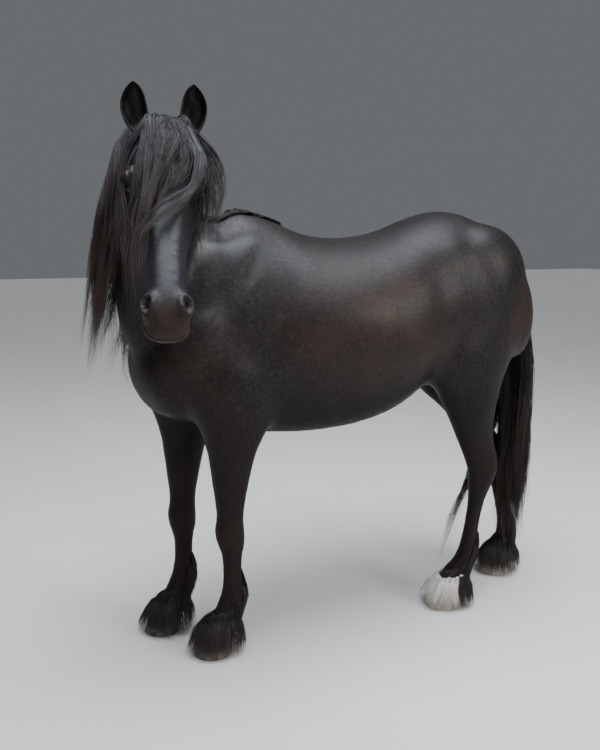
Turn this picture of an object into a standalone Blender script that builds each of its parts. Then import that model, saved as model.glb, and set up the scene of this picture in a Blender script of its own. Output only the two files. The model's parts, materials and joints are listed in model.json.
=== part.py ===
"""A Friesian horse, life size, standing with its left hind foot forward and its head turned to its left.

Metres, +X is the horse's left, +Y runs back from its chest to its tail, +Z is up, and the soles stand at Z = 0.
The flesh is modelled as lofted forms and muscles fused into one smooth body, which is then parted by thin cuts.
"""

import math

import bmesh
import bpy
import numpy as np
from mathutils import Matrix, Vector
from mathutils.bvhtree import BVHTree

# Gaps between the pieces, and the fineness of the flesh
GAP = 0.0003
CLEAR = 0.0005
CLAY_VOXEL = 0.010
BODY_TRIANGLES = 4200

# Heights along the legs: the ground under the soles, and the bands in which a leg shortens and leans
GROUND = 0.030
SHANK_TOP = 0.50
ELBOW_HEIGHT = 0.90
FETLOCK_HEIGHT = 0.12
FOOT_OUT = 0.13
KNEE_CUT = 0.400
HOCK_CUT = 0.480

# Hooves: height at the heel, its rise to the toe, radius at the coronet and its growth to the sole
HOOF_HEIGHT = 0.078
TOE_RISE = 0.018
CORONET_RADIUS = 0.058
SOLE_SPREAD = 0.011
HOOF_BACK = 0.004
HOOF_SLOPE = 0.014

# Eyes in the head's frame, with their lids and the almond between them
EYE_RADIUS = 0.0225
EYE = (0.092, -0.024, 0.205)
EYE_SLACK = 0.0004
LID_THICKNESS = 0.0050
EYE_OPEN = (0.0195, 0.0115, 0.004)

# Nostrils in the head's frame: middle, radii, turn in degrees
NOSTRIL = (0.052, -0.042, 0.598)
NOSTRIL_RADII = (0.0095, 0.017, 0.019)
NOSTRIL_TURN = -28

# The line of the mouth: half width, depth below the face line, where its corners lie and how far it reaches on
MOUTH = (0.062, -0.097, 0.560, 0.100)

# Ears: they stand this far from the poll in the head's frame, lean apart and forward, and are cups of thin wall
EAR_ROOT = (0.060, -0.030, 0.026)
EAR_LENGTH = 0.135
EAR_WIDTH = 0.068
EAR_WALL = 0.006
EAR_DEPTH = 0.9
EAR_SPREAD = 0.20
EAR_FORWARD = 0.10

# Locks of hair: how many there are, and the angle by which each of the tail's locks turns from the last
MANE_LOCKS = 22
MANE_LEFT_LOCKS = 3
TAIL_LOCKS = 13
FEATHER_LOCKS = 7
GOLDEN_ANGLE = 2.399963

# A lock's half thickness and half width from root to tip, the widths as shares of the lock's own half width
LOCK_THICK = (0.006, 0.0066, 0.006, 0.005, 0.0008)
MANE_WIDTHS = (0.6, 1.0, 1.0, 0.8, 0.1)
FORELOCK_THICK = (0.005, 0.006, 0.005, 0.004, 0.0008)
FORELOCK_WIDTHS = (0.7, 1.0, 0.95, 0.7, 0.13)
TAIL_THICK = (0.007, 0.009, 0.008, 0.006, 0.0008)
TAIL_WIDTHS = (0.6, 1.0, 1.0, 0.75, 0.12)
FEATHER_THICK = (0.005, 0.006, 0.006, 0.005, 0.0008)
FEATHER_WIDTHS = (0.7, 1.0, 1.15, 0.95, 0.13)

# The mane's hang below the widest of the neck, by the share of the neck's length it is rooted at
MANE_REACH = ((0.1, 0.3, 0.6, 0.9, 1.0), (0.20, 0.36, 0.44, 0.44, 0.40))
MANE_LAYER = 0.015
MANE_DRIFT = (0.05, -0.16, 0.0)
PARTING = -8.0

# The tail: its core's Y, Z, half thickness and half width, and its locks' spread at shares of their drop
TAIL_CORE = (
    (1.130, 1.425, 0.026, 0.026),
    (1.200, 1.400, 0.032, 0.034),
    (1.257, 1.320, 0.040, 0.048),
    (1.283, 1.180, 0.046, 0.058),
    (1.293, 1.000, 0.038, 0.046),
    (1.298, 0.840, 0.010, 0.010),
)
TAIL_SPREAD = ((0.30, 0.075), (0.55, 0.080), (0.78, 0.062), (1.0, 0.030))
# Two thin strands of the tail that hang forward between the hind legs: X at the root, and the tip
WISPS = ((-0.030, (-0.020, 0.935, 0.100)), (-0.045, (-0.040, 0.965, 0.140)))
WISP_PATH = ((1.275, 0.82), (1.175, 0.60), (1.065, 0.38))

# Where each foot stands: how far its leg is set back at the elbow or stifle and at the foot, and how far out
STANCE = {
    "fore_left": (0.000, 0.000, 0.105),
    "fore_right": (-0.076, -0.115, -0.135),
    "hind_left": (-0.030, -0.165, 0.130),
    "hind_right": (0.060, 0.235, -0.055),
}

# The trunk, from breast to buttocks: Y, widest height, half width, top, bottom, pinch of the top
TRUNK = (
    (-0.305, 1.06, 0.080, 1.13, 0.98, 1.0),
    (-0.250, 1.07, 0.160, 1.24, 0.90, 1.0),
    (-0.160, 1.08, 0.205, 1.38, 0.855, 1.1),
    (-0.050, 1.11, 0.225, 1.50, 0.830, 1.3),
    (0.060, 1.12, 0.243, 1.565, 0.800, 1.45),
    (0.180, 1.13, 0.272, 1.540, 0.783, 1.3),
    (0.320, 1.13, 0.300, 1.485, 0.775, 1.1),
    (0.480, 1.13, 0.315, 1.475, 0.785, 1.0),
    (0.630, 1.15, 0.308, 1.500, 0.822, 0.95),
    (0.760, 1.20, 0.283, 1.548, 0.895, 0.92),
    (0.870, 1.23, 0.270, 1.575, 0.960, 0.90),
    (0.980, 1.25, 0.262, 1.560, 1.000, 0.88),
    (1.085, 1.25, 0.240, 1.492, 1.020, 0.86),
    (1.175, 1.24, 0.190, 1.405, 1.060, 0.9),
    (1.235, 1.23, 0.105, 1.315, 1.130, 1.0),
)

# A foreleg down from the arm: Z, X, front Y, back Y, half width
FORELEG = (
    (1.14, 0.150, -0.190, 0.110, 0.080),
    (1.02, 0.162, -0.195, 0.145, 0.092),
    (0.92, 0.160, -0.160, 0.150, 0.088),
    (0.84, 0.150, -0.120, 0.125, 0.076),
    (0.76, 0.142, -0.095, 0.086, 0.064),
    (0.66, 0.136, -0.078, 0.060, 0.055),
    (0.56, 0.132, -0.062, 0.042, 0.046),
    (0.51, 0.130, -0.060, 0.038, 0.047),
    (0.47, 0.130, -0.066, 0.042, 0.049),
    (0.42, 0.130, -0.056, 0.043, 0.043),
    (0.37, 0.130, -0.041, 0.036, 0.032),
    (0.30, 0.130, -0.037, 0.035, 0.029),
    (0.24, 0.130, -0.041, 0.044, 0.034),
    (0.20, 0.130, -0.052, 0.050, 0.041),
    (0.155, 0.130, -0.072, 0.024, 0.036),
    (0.11, 0.130, -0.098, -0.003, 0.040),
    (0.07, 0.130, -0.112, -0.016, 0.045),
    (0.050, 0.130, -0.110, -0.022, 0.040),
)

# A hind leg down from the hip: Z, X, front Y, back Y, half width
HINDLEG = (
    (1.38, 0.120, 0.870, 1.110, 0.090),
    (1.25, 0.145, 0.795, 1.190, 0.112),
    (1.12, 0.152, 0.765, 1.190, 0.116),
    (1.00, 0.158, 0.775, 1.150, 0.106),
    (0.90, 0.154, 0.835, 1.115, 0.088),
    (0.80, 0.145, 0.915, 1.125, 0.068),
    (0.70, 0.136, 0.985, 1.150, 0.052),
    (0.62, 0.130, 1.040, 1.190, 0.046),
    (0.56, 0.130, 1.073, 1.202, 0.049),
    (0.50, 0.130, 1.088, 1.182, 0.045),
    (0.44, 0.130, 1.097, 1.168, 0.034),
    (0.34, 0.130, 1.100, 1.162, 0.030),
    (0.25, 0.130, 1.096, 1.168, 0.035),
    (0.20, 0.130, 1.084, 1.172, 0.041),
    (0.155, 0.130, 1.058, 1.144, 0.037),
    (0.11, 0.130, 1.026, 1.116, 0.040),
    (0.07, 0.130, 1.006, 1.100, 0.045),
    (0.050, 0.130, 1.008, 1.094, 0.040),
)

# The neck, from the shoulders to the poll: centre X, Y, Z, half width, reach to the crest, reach to the throat
NECK = (
    (0.000, 0.080, 1.180, 0.160, 0.270, 0.260),
    (0.000, -0.060, 1.255, 0.165, 0.262, 0.280),
    (0.022, -0.170, 1.345, 0.140, 0.238, 0.270),
    (0.085, -0.250, 1.440, 0.114, 0.212, 0.215),
    (0.185, -0.290, 1.535, 0.097, 0.184, 0.165),
    (0.292, -0.297, 1.620, 0.084, 0.150, 0.130),
    (0.385, -0.285, 1.678, 0.072, 0.108, 0.105),
)

# The forelock's blades: across the brow at the root and three stations down, and reach down the face
FORELOCK = (
    (-0.034, -0.066, -0.084, -0.090, 0.30),
    (-0.016, -0.030, -0.052, -0.066, 0.38),
    (0.000, -0.002, -0.024, -0.044, 0.34),
    (0.014, 0.030, 0.014, -0.034, 0.40),
    (-0.026, -0.048, -0.070, -0.082, 0.36),
    (0.026, 0.056, 0.052, -0.020, 0.42),
    (-0.008, -0.014, -0.040, -0.062, 0.41),
    (0.034, 0.064, 0.064, 0.052, 0.30),
    (0.020, 0.044, 0.036, 0.014, 0.28),
)

# The skull, down the face from the poll: distance, half width, face line, jaw line, widest line, jaw pinch
POLL = (0.430, -0.290, 1.790)
FACE_HEADING = -13.0
FACE_SLOPE = 37.0
HEAD_ROLL = -2.0
SKULL = (
    (-0.020, 0.045, -0.020, -0.110, -0.065, 1.0),
    (0.020, 0.068, 0.000, -0.150, -0.070, 1.0),
    (0.080, 0.080, 0.012, -0.200, -0.068, 1.0),
    (0.150, 0.090, 0.014, -0.230, -0.060, 1.0),
    (0.210, 0.090, 0.008, -0.232, -0.052, 1.1),
    (0.270, 0.076, 0.001, -0.212, -0.050, 1.15),
    (0.340, 0.063, -0.004, -0.182, -0.050, 1.15),
    (0.420, 0.054, -0.007, -0.154, -0.052, 1.0),
    (0.500, 0.051, -0.010, -0.136, -0.058, 0.9),
    (0.560, 0.053, -0.015, -0.134, -0.064, 0.85),
    (0.610, 0.051, -0.028, -0.132, -0.074, 0.85),
    (0.644, 0.036, -0.050, -0.116, -0.082, 0.9),
)

# Relief of the head on both sides, in its own frame: centre, reach across, off the face and down it, height
RELIEF = (
    ((0.086, -0.004, 0.180), (0.030, 0.017, 0.036), 0.011),
    ((0.062, 0.004, 0.128), (0.022, 0.030, 0.030), -0.008),
    ((0.074, -0.074, 0.265), (0.030, 0.014, 0.040), 0.006),
    ((0.060, -0.070, 0.340), (0.030, 0.012, 0.040), 0.005),
    ((0.085, -0.150, 0.175), (0.050, 0.060, 0.070), 0.007),
    ((0.080, -0.120, 0.255), (0.040, 0.030, 0.030), -0.005),
    ((0.052, -0.040, 0.385), (0.026, 0.018, 0.080), -0.005),
    ((0.022, -0.004, 0.420), (0.014, 0.014, 0.120), 0.003),
    ((0.046, -0.042, 0.575), (0.022, 0.020, 0.026), 0.006),
    ((0.054, -0.062, 0.610), (0.018, 0.014, 0.020), 0.005),
    ((0.040, -0.100, 0.520), (0.030, 0.014, 0.030), -0.005),
    ((0.000, -0.060, 0.645), (0.020, 0.020, 0.020), 0.004),
    ((0.020, -0.128, 0.590), (0.025, 0.020, 0.022), 0.006),
)

# Rounded forms on both sides of the head, in its own frame: centre, radii
HEAD_FORMS = (
    ((0.070, -0.140, 0.170), (0.030, 0.085, 0.100)),
    ((0.080, -0.026, 0.205), (0.028, 0.030, 0.042)),
    ((0.040, -0.040, 0.580), (0.026, 0.030, 0.038)),
    ((0.018, -0.122, 0.580), (0.030, 0.024, 0.040)),
    ((0.026, -0.100, 0.608), (0.034, 0.026, 0.036)),
)

# Fillings on both sides before the flesh is smoothed: centre, radii, turn about X in degrees
FILLINGS = (
    ((0.110, -0.020, 1.280), (0.085, 0.130, 0.250), -38),
    ((0.110, -0.110, 1.300), (0.085, 0.120, 0.190), -30),
    ((0.150, -0.130, 1.130), (0.090, 0.120, 0.170), -30),
    ((0.085, -0.215, 1.040), (0.100, 0.085, 0.120), 0),
    ((0.135, 1.000, 1.330), (0.135, 0.190, 0.200), 20),
    ((0.135, 1.120, 1.200), (0.115, 0.110, 0.210), 8),
    ((0.150, 0.900, 1.080), (0.110, 0.120, 0.170), -15),
)

# Muscles, bony points and hollows on both sides: centre, reach along X, Y, Z, turn about X in degrees, height
MUSCLES = (
    ((0.180, -0.180, 1.070), (0.080, 0.055, 0.060), 0, 0.012),
    ((0.200, 0.030, 1.040), (0.080, 0.085, 0.085), 25, 0.010),
    ((0.190, -0.060, 1.260), (0.100, 0.030, 0.150), -32, 0.008),
    ((0.190, 0.045, 1.300), (0.100, 0.040, 0.150), -32, 0.008),
    ((0.190, -0.005, 1.290), (0.100, 0.016, 0.150), -32, -0.006),
    ((0.200, 0.140, 1.190), (0.100, 0.030, 0.150), -20, -0.008),
    ((0.120, -0.100, 0.830), (0.080, 0.080, 0.060), 0, 0.004),
    ((0.240, 0.830, 1.440), (0.070, 0.050, 0.050), 0, 0.010),
    ((0.240, 0.740, 1.300), (0.080, 0.060, 0.110), 0, -0.012),
    ((0.230, 1.010, 1.260), (0.090, 0.070, 0.090), 0, 0.010),
    ((0.230, 0.860, 1.040), (0.080, 0.060, 0.070), -20, 0.012),
    ((0.180, 1.140, 1.100), (0.090, 0.030, 0.140), 5, -0.007),
    ((0.180, 0.970, 0.850), (0.070, 0.070, 0.110), -25, 0.008),
    ((0.330, 0.350, 1.250), (0.100, 0.200, 0.100), 0, 0.004),
)

# Each leg with its rows and the height of the cut below which it is a cannon
LEG_CUTS = (
    ("fore_left", FORELEG, KNEE_CUT),
    ("fore_right", FORELEG, KNEE_CUT),
    ("hind_left", HINDLEG, HOCK_CUT),
    ("hind_right", HINDLEG, HOCK_CUT),
)

# Colour and roughness by the first word of a piece's name
BLACK = (0.018, 0.014, 0.013)
COLOURS = {
    "head": (BLACK, 0.45),
    "neck": (BLACK, 0.5),
    "torso": (BLACK, 0.42),
    "foreleg": (BLACK, 0.45),
    "hindleg": (BLACK, 0.45),
    "fore": (BLACK, 0.55),
    "hind": (BLACK, 0.55),
    "ear": (BLACK, 0.6),
    "tail": (BLACK, 0.55),
    "eye": ((0.02, 0.012, 0.008), 0.05),
    "hoof": ((0.12, 0.10, 0.09), 0.5),
    "white": ((0.62, 0.58, 0.52), 0.5),
}


def spline_rows(rows, per_span):
    """Catmull-Rom rows through the given rows: every number runs smoothly, with per_span rows to each span."""
    rows = np.asarray(rows, float)
    padded = np.vstack([2 * rows[0] - rows[1], rows, 2 * rows[-1] - rows[-2]])
    t = np.linspace(0, len(rows) - 1, (len(rows) - 1) * per_span + 1)
    k = np.minimum(t.astype(int), len(rows) - 2)
    u = (t - k)[:, None]
    a, b, c, d = (padded[k + i] for i in range(4))
    return 0.5 * (2 * b + (c - a) * u + (2 * a - 5 * b + 4 * c - d) * u**2 + (3 * b - a - 3 * c + d) * u**3)


def loft(centres, left, up, half, top, bottom, pinch_top=1.0, pinch_bottom=1.0, sides=28):
    """A closed tube: rings of half width `half` along `left`, reaching `top` and `bottom` along `up`.

    A ring point at angle t is half * |cos t|^pinch across and top or bottom * sin t up.
    """
    n = len(centres)
    t = np.arange(sides) / sides * 2 * np.pi
    c, s = np.cos(t), np.sin(t)
    pinch = np.where(s > 0, np.broadcast_to(pinch_top, n)[:, None], np.broadcast_to(pinch_bottom, n)[:, None])
    across = np.sign(c) * np.abs(c) ** pinch * np.broadcast_to(half, n)[:, None]
    rise = np.where(s > 0, np.broadcast_to(top, n)[:, None], np.broadcast_to(bottom, n)[:, None]) * s
    left, up = np.broadcast_to(left, (n, 3)), np.broadcast_to(up, (n, 3))
    points = centres[:, None, :] + across[..., None] * left[:, None, :] + rise[..., None] * up[:, None, :]
    return ring_mesh(points)


def ring_mesh(points):
    """Vertices and faces of a closed skin over rings, points[row, side], its two ends fanned shut."""
    n, m = points.shape[:2]
    row, side = np.meshgrid(np.arange(n - 1), np.arange(m), indexing="ij")
    a = row * m + side
    b = row * m + (side + 1) % m
    quads = np.stack([a, b, b + m, a + m], -1).reshape(-1, 4)
    first, last = n * m, n * m + 1
    k = np.arange(m)
    head = np.stack([np.full(m, first), (k + 1) % m, k], 1)
    foot = np.stack([np.full(m, last), k + (n - 1) * m, (k + 1) % m + (n - 1) * m], 1)
    vertices = np.vstack([points.reshape(-1, 3), points[0].mean(0), points[-1].mean(0)])
    return vertices, [tuple(face) for block in (quads, head, foot) for face in block.tolist()]


def ellipsoid(centre, radii, turn=0.0, rings=12, sides=20):
    """A ball with the given radii, turned about X by `turn` degrees."""
    lat = np.linspace(-np.pi / 2, np.pi / 2, rings + 2)[1:-1]
    lon = np.arange(sides) / sides * 2 * np.pi
    lat, lon = np.meshgrid(lat, lon, indexing="ij")
    grid = np.stack([np.cos(lat) * np.cos(lon), np.cos(lat) * np.sin(lon), np.sin(lat)], -1)
    a = math.radians(turn)
    spin = np.array([[1, 0, 0], [0, math.cos(a), -math.sin(a)], [0, math.sin(a), math.cos(a)]])
    return ring_mesh(np.asarray(centre) + (grid * radii) @ spin.T)


def trunk():
    """The barrel from breast to buttocks, as rings across the horse."""
    y, wide, half, top, bottom, pinch = spline_rows(TRUNK, 4).T
    centres = np.stack([0 * y, y, wide], 1)
    return loft(centres, (1, 0, 0), (0, 0, 1), half, top - wide, wide - bottom, pinch, 0.92, 36)


def leg_rows(table, foot):
    """A leg's smooth rows, leaned from the hip or shoulder so that the foot stands where STANCE puts it."""
    rows = spline_rows(table, 4)
    elbow, sole, out = STANCE[foot]
    side = math.copysign(1, out)
    raised = GROUND + rows[:, 0] * (SHANK_TOP - GROUND) / SHANK_TOP
    rows[:, 0] = np.where(rows[:, 0] < SHANK_TOP, raised, rows[:, 0])
    lean = np.clip((ELBOW_HEIGHT - rows[:, 0]) / (ELBOW_HEIGHT - FETLOCK_HEIGHT), 0, 1)
    rows[:, 1] = side * rows[:, 1] + lean * (out - side * FOOT_OUT)
    rows[:, 2:4] += (elbow + lean * (sole - elbow))[:, None]
    return rows


def leg(table, foot):
    """One leg as level rings, from inside the trunk down into the hoof."""
    z, x, front, back, half = leg_rows(table, foot).T
    centres = np.stack([x, (front + back) / 2, z], 1)
    reach = (back - front) / 2
    return loft(centres, (1, 0, 0), (0, 1, 0), half, reach, reach, 0.95, 0.95, 24)


def neck_frame():
    """The neck's smooth rows: centres, and its left and crest directions at each."""
    rows = spline_rows(NECK, 5)
    centres = rows[:, :3]
    along = np.gradient(centres, axis=0)
    along /= np.linalg.norm(along, axis=1)[:, None]
    crest = np.array([0, 0, 1.0]) - along * along[:, 2:3]
    crest /= np.linalg.norm(crest, axis=1)[:, None]
    return rows, centres, np.cross(crest, along), crest


def neck():
    """The neck, carried along its bend, deep at the shoulders and slim at the throat, with a narrow crest."""
    rows, centres, left, crest = neck_frame()
    return loft(centres, left, crest, rows[:, 3], rows[:, 4], rows[:, 5], 1.25, 1.0, 28)


def head_matrix():
    """From the head's own frame (left, off the face, down the face) to the horse's."""
    heading, slope = math.radians(FACE_HEADING), math.radians(FACE_SLOPE)
    ahead = Vector((math.cos(heading), math.sin(heading), 0))
    down = ahead * math.sin(slope) - Vector((0, 0, 1)) * math.cos(slope)
    off = ahead * math.cos(slope) + Vector((0, 0, 1)) * math.sin(slope)
    side = Vector((-math.sin(heading), math.cos(heading), 0))
    turn = Matrix((side, off, down)).transposed().to_4x4()
    return Matrix.Translation(POLL) @ turn @ Matrix.Rotation(math.radians(HEAD_ROLL), 4, "Y")


def placed(shape, matrix):
    """The shape's vertices carried by a matrix."""
    vertices, faces = shape
    m = np.array(matrix)
    return vertices @ m[:3, :3].T + m[:3, 3], faces


def skull():
    """The head's main form: rings across the face from the poll to the lips, in the head's frame."""
    s, half, face, jaw, wide, pinch = spline_rows(SKULL, 4).T
    centres = np.stack([0 * s, wide, s], 1)
    return loft(centres, (1, 0, 0), (0, 1, 0), half, face - wide, wide - jaw, 0.8, pinch, 28)


def head_forms():
    """Cheeks, eye sockets, nostrils, chin and upper lip, on both sides, in the head's frame."""
    return [ellipsoid((x * side, y, z), r) for (x, y, z), r in HEAD_FORMS for side in (1, -1)]


def fused(shapes, voxel):
    """All shapes as one closed mesh, by a voxel remesh of their union."""
    vertices, faces, start = [], [], 0
    for points, polygons in shapes:
        vertices.append(points)
        faces += [tuple(i + start for i in polygon) for polygon in polygons]
        start += len(points)
    mesh = bpy.data.meshes.new("clay")
    mesh.from_pydata(np.vstack(vertices).tolist(), [], faces)
    obj = bpy.data.objects.new("clay", mesh)
    bpy.context.scene.collection.objects.link(obj)
    remesh = obj.modifiers.new("Remesh", "REMESH")
    remesh.mode = "VOXEL"
    remesh.voxel_size = voxel
    return obj


def applied(obj):
    """The object with its modifiers applied to its mesh."""
    graph = bpy.context.evaluated_depsgraph_get()
    mesh = bpy.data.meshes.new_from_object(obj.evaluated_get(graph))
    obj.modifiers.clear()
    old = obj.data
    obj.data = mesh
    bpy.data.meshes.remove(old)
    return obj


def neighbour_mean(points, ends, counts):
    """The mean of each vertex's neighbours."""
    total = np.empty_like(points)
    for axis in range(3):
        total[:, axis] = np.bincount(ends[:, 0], points[ends[:, 1], axis], len(points))
        total[:, axis] += np.bincount(ends[:, 1], points[ends[:, 0], axis], len(points))
    return total / counts[:, None]


def smoothed(obj, rounds, weight):
    """Smooths the mesh: each round moves a vertex towards its neighbours' mean, then part way out again."""
    mesh = obj.data
    points = np.empty(len(mesh.vertices) * 3)
    mesh.vertices.foreach_get("co", points)
    points = points.reshape(-1, 3)
    ends = np.empty(len(mesh.edges) * 2, int)
    mesh.edges.foreach_get("vertices", ends)
    ends = ends.reshape(-1, 2)
    counts = np.bincount(ends.ravel(), minlength=len(points))
    share = weight(points)[:, None]
    for _ in range(rounds):
        for step in (0.6, -0.45):
            points += step * share * (neighbour_mean(points, ends, counts) - points)
    mesh.vertices.foreach_set("co", points.ravel())
    mesh.update()


def bump(offsets, reach, height):
    """A rounded rise: height * exp(-r^2), r the offset counted in reaches."""
    return height * np.exp(-sum((offset / size) ** 2 for offset, size in zip(offsets, reach)))


def swollen(obj):
    """Raises the muscles and the head's relief: each vertex moves along its normal by their sum."""
    mesh = obj.data
    points = np.empty(len(mesh.vertices) * 3)
    mesh.vertices.foreach_get("co", points)
    points = points.reshape(-1, 3)
    normals = np.empty(len(mesh.vertices) * 3)
    mesh.vertex_normals.foreach_get("vector", normals)
    rise = np.zeros(len(points))
    for centre, reach, turn, height in MUSCLES:
        for side in (1, -1):
            x, y, z = (points - np.asarray(centre) * (side, 1, 1)).T
            a = math.radians(turn)
            turned = (x, y * math.cos(a) + z * math.sin(a), z * math.cos(a) - y * math.sin(a))
            rise += bump(turned, reach, height)
    on_head = (points - POLL) @ np.array(head_matrix())[:3, :3]
    for centre, reach, height in RELIEF:
        for side in (1, -1):
            share = 1 if centre[0] else 0.5
            rise += bump((on_head - np.asarray(centre) * (side, 1, 1)).T, reach, share * height)
    points += normals.reshape(-1, 3) * rise[:, None]
    mesh.vertices.foreach_set("co", points.ravel())
    mesh.update()


def smoothing(points):
    """How strongly each point is smoothed: fully on trunk and neck, little on the head and lower legs."""
    down = np.array(head_matrix())[:3, 2]
    on_head = np.clip(((points - POLL) @ down + 0.02) / 0.10, 0, 1)
    near_face = np.clip((points[:, 0] - 0.30) / 0.10, 0, 1)
    low = np.clip((points[:, 2] - 0.62) / 0.25, 0, 1)
    return (0.12 + 0.88 * low) * (1 - 0.88 * on_head * near_face)


def coarseness(points):
    """How readily each point is dropped when the mesh is thinned: least on the head."""
    down = np.array(head_matrix())[:3, 2]
    on_head = np.clip(((points - POLL) @ down + 0.02) / 0.10, 0, 1) * (points[:, 0] > 0.30)
    low = np.clip((points[:, 2] - 0.80) / 0.20, 0, 1)
    return np.where(on_head > 0, 0.10, 0.45 + 0.02 * low)


def body():
    """The flesh of the whole horse as one smooth closed mesh."""
    shapes = [trunk(), neck(), placed(skull(), head_matrix())]
    shapes += [placed(form, head_matrix()) for form in head_forms()]
    shapes += [leg(FORELEG, "fore_left"), leg(FORELEG, "fore_right")]
    shapes += [leg(HINDLEG, "hind_left"), leg(HINDLEG, "hind_right")]
    shapes += [ellipsoid((x * side, y, z), r, turn) for (x, y, z), r, turn in FILLINGS for side in (1, -1)]
    obj = applied(fused(shapes, CLAY_VOXEL))
    smoothed(obj, 60, smoothing)
    swollen(obj)
    return obj


def mesh_object(name, shape):
    """A new object holding the shape, its faces turned outwards."""
    vertices, faces = shape
    mesh = bpy.data.meshes.new(name)
    mesh.from_pydata(np.asarray(vertices).tolist(), [], [tuple(face) for face in faces])
    tidy = bmesh.new()
    tidy.from_mesh(mesh)
    bmesh.ops.recalc_face_normals(tidy, faces=tidy.faces)
    tidy.to_mesh(mesh)
    tidy.free()
    obj = bpy.data.objects.new(name, mesh)
    bpy.context.scene.collection.objects.link(obj)
    return obj


def slab(corner, u, v, thickness=GAP):
    """A thin flat box: its middle face spans u and v (full lengths) from the corner."""
    corner, u, v = Vector(corner), Vector(u), Vector(v)
    half = u.cross(v).normalized() * thickness / 2
    flat = [corner, corner + u, corner + u + v, corner + v]
    vertices = [tuple(p - half) for p in flat] + [tuple(p + half) for p in flat]
    faces = [(0, 3, 2, 1), (4, 5, 6, 7)] + [(i, (i + 1) % 4, (i + 1) % 4 + 4, i + 4) for i in range(4)]
    return vertices, faces


def grown(obj, margin):
    """A copy of the object's mesh pushed out along its normals by the margin, as a cutter."""
    cutter = bpy.data.objects.new("cutter", obj.data.copy())
    bpy.context.scene.collection.objects.link(cutter)
    mesh = cutter.data
    points = np.empty(len(mesh.vertices) * 3)
    mesh.vertices.foreach_get("co", points)
    normals = np.empty(len(mesh.vertices) * 3)
    mesh.vertex_normals.foreach_get("vector", normals)
    mesh.vertices.foreach_set("co", points + margin * normals)
    return cutter


def face_groups(mesh):
    """The mesh's faces in groups that hang together across edges, in the order of their first faces."""
    mesh.faces.ensure_lookup_table()
    seen, groups = set(), []
    for first in mesh.faces:
        if first.index in seen:
            continue
        seen.add(first.index)
        reached, group = [first], []
        while reached:
            face = reached.pop()
            group.append(face)
            for edge in face.edges:
                for other in edge.link_faces if len(edge.link_faces) == 2 else ():
                    if other.index not in seen:
                        seen.add(other.index)
                        reached.append(other)
        groups.append(group)
    return groups


def largest_piece(obj):
    """Keeps only the largest closed surface of a mesh."""
    mesh = bmesh.new()
    mesh.from_mesh(obj.data)
    groups = sorted(face_groups(mesh), key=lambda group: sum(face.calc_area() for face in group))
    bmesh.ops.delete(mesh, geom=[face for group in groups[:-1] for face in group], context="FACES")
    mesh.to_mesh(obj.data)
    mesh.free()


def boolean(obj, cutters, operation, solver="EXACT"):
    """Applies one Boolean with each cutter, or one union with all of them, and removes the cutters."""
    if operation == "UNION":
        group = bpy.data.collections.new("pieces")
        for cutter in cutters:
            group.objects.link(cutter)
        step = obj.modifiers.new("Boolean", "BOOLEAN")
        step.operation, step.solver = operation, solver
        step.operand_type = "COLLECTION"
        step.collection = group
        applied(obj)
        bpy.data.collections.remove(group)
    else:
        for cutter in cutters:
            step = obj.modifiers.new("Boolean", "BOOLEAN")
            step.operation, step.solver = operation, solver
            step.object = cutter
            applied(obj)
    for cutter in cutters:
        mesh = cutter.data
        bpy.data.objects.remove(cutter)
        bpy.data.meshes.remove(mesh)
    return obj


def reduced(obj, triangles):
    """Collapses the mesh to about this many triangles, keeping the head and the lower legs finer."""
    mesh = obj.data
    points = np.empty(len(mesh.vertices) * 3)
    mesh.vertices.foreach_get("co", points)
    keep = coarseness(points.reshape(-1, 3))
    group = obj.vertex_groups.new(name="coarse")
    for level in range(1, 11):
        chosen = np.flatnonzero(np.ceil(keep * 10) == level)
        if len(chosen):
            group.add(chosen.tolist(), level / 10, "REPLACE")
    step = obj.modifiers.new("Decimate", "DECIMATE")
    step.ratio = triangles / (2 * len(mesh.polygons))
    step.vertex_group = "coarse"
    step.vertex_group_factor = 1.0
    applied(obj)
    obj.vertex_groups.clear()
    return obj


def pieces_of(obj):
    """Splits the mesh into its loose pieces, each as vertices and faces, and removes the object."""
    mesh = bmesh.new()
    mesh.from_mesh(obj.data)
    found = []
    for group in face_groups(mesh):
        index = {}
        for face in group:
            for vertex in face.verts:
                index.setdefault(vertex, len(index))
        vertices = [tuple(vertex.co) for vertex in index]
        found.append((vertices, [tuple(index[vertex] for vertex in face.verts) for face in group]))
    mesh.free()
    old = obj.data
    bpy.data.objects.remove(obj)
    bpy.data.meshes.remove(old)
    return found


def part_cuts():
    """The thin cuts that part the flesh: throat and poll, shoulders, legs, knees and hocks."""
    poll = head_matrix() @ Vector((-0.25, 0.08, -0.09))
    across = head_matrix() @ Vector((0.25, 0.08, -0.09)) - poll
    throat = head_matrix() @ Vector((-0.25, -0.36, 0.275)) - poll
    cuts = [slab(poll, across, throat)]
    cuts.append(slab((-0.42, 0.245, 1.605), (0.84, 0, 0), (0, -0.655, -0.63)))
    for side in (1, -1):
        cuts.append(slab((0.004 * side, -0.40, 0.745), (0.36 * side, 0, 0.20), (0, 0.75, 0)))
        cuts.append(slab((0.0, 0.60, 0.790), (0.40 * side, 0, 0.12), (0, 0.85, 0.30)))
    for foot, table, height in LEG_CUTS:
        rows = leg_rows(table, foot)
        x, front, back = (np.interp(-height, -rows[:, 0], rows[:, k]) for k in (1, 2, 3))
        cuts.append(slab((x - 0.09, front - 0.05, height), (0.18, 0, 0), (0, back - front + 0.10, 0)))
    return cuts


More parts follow.
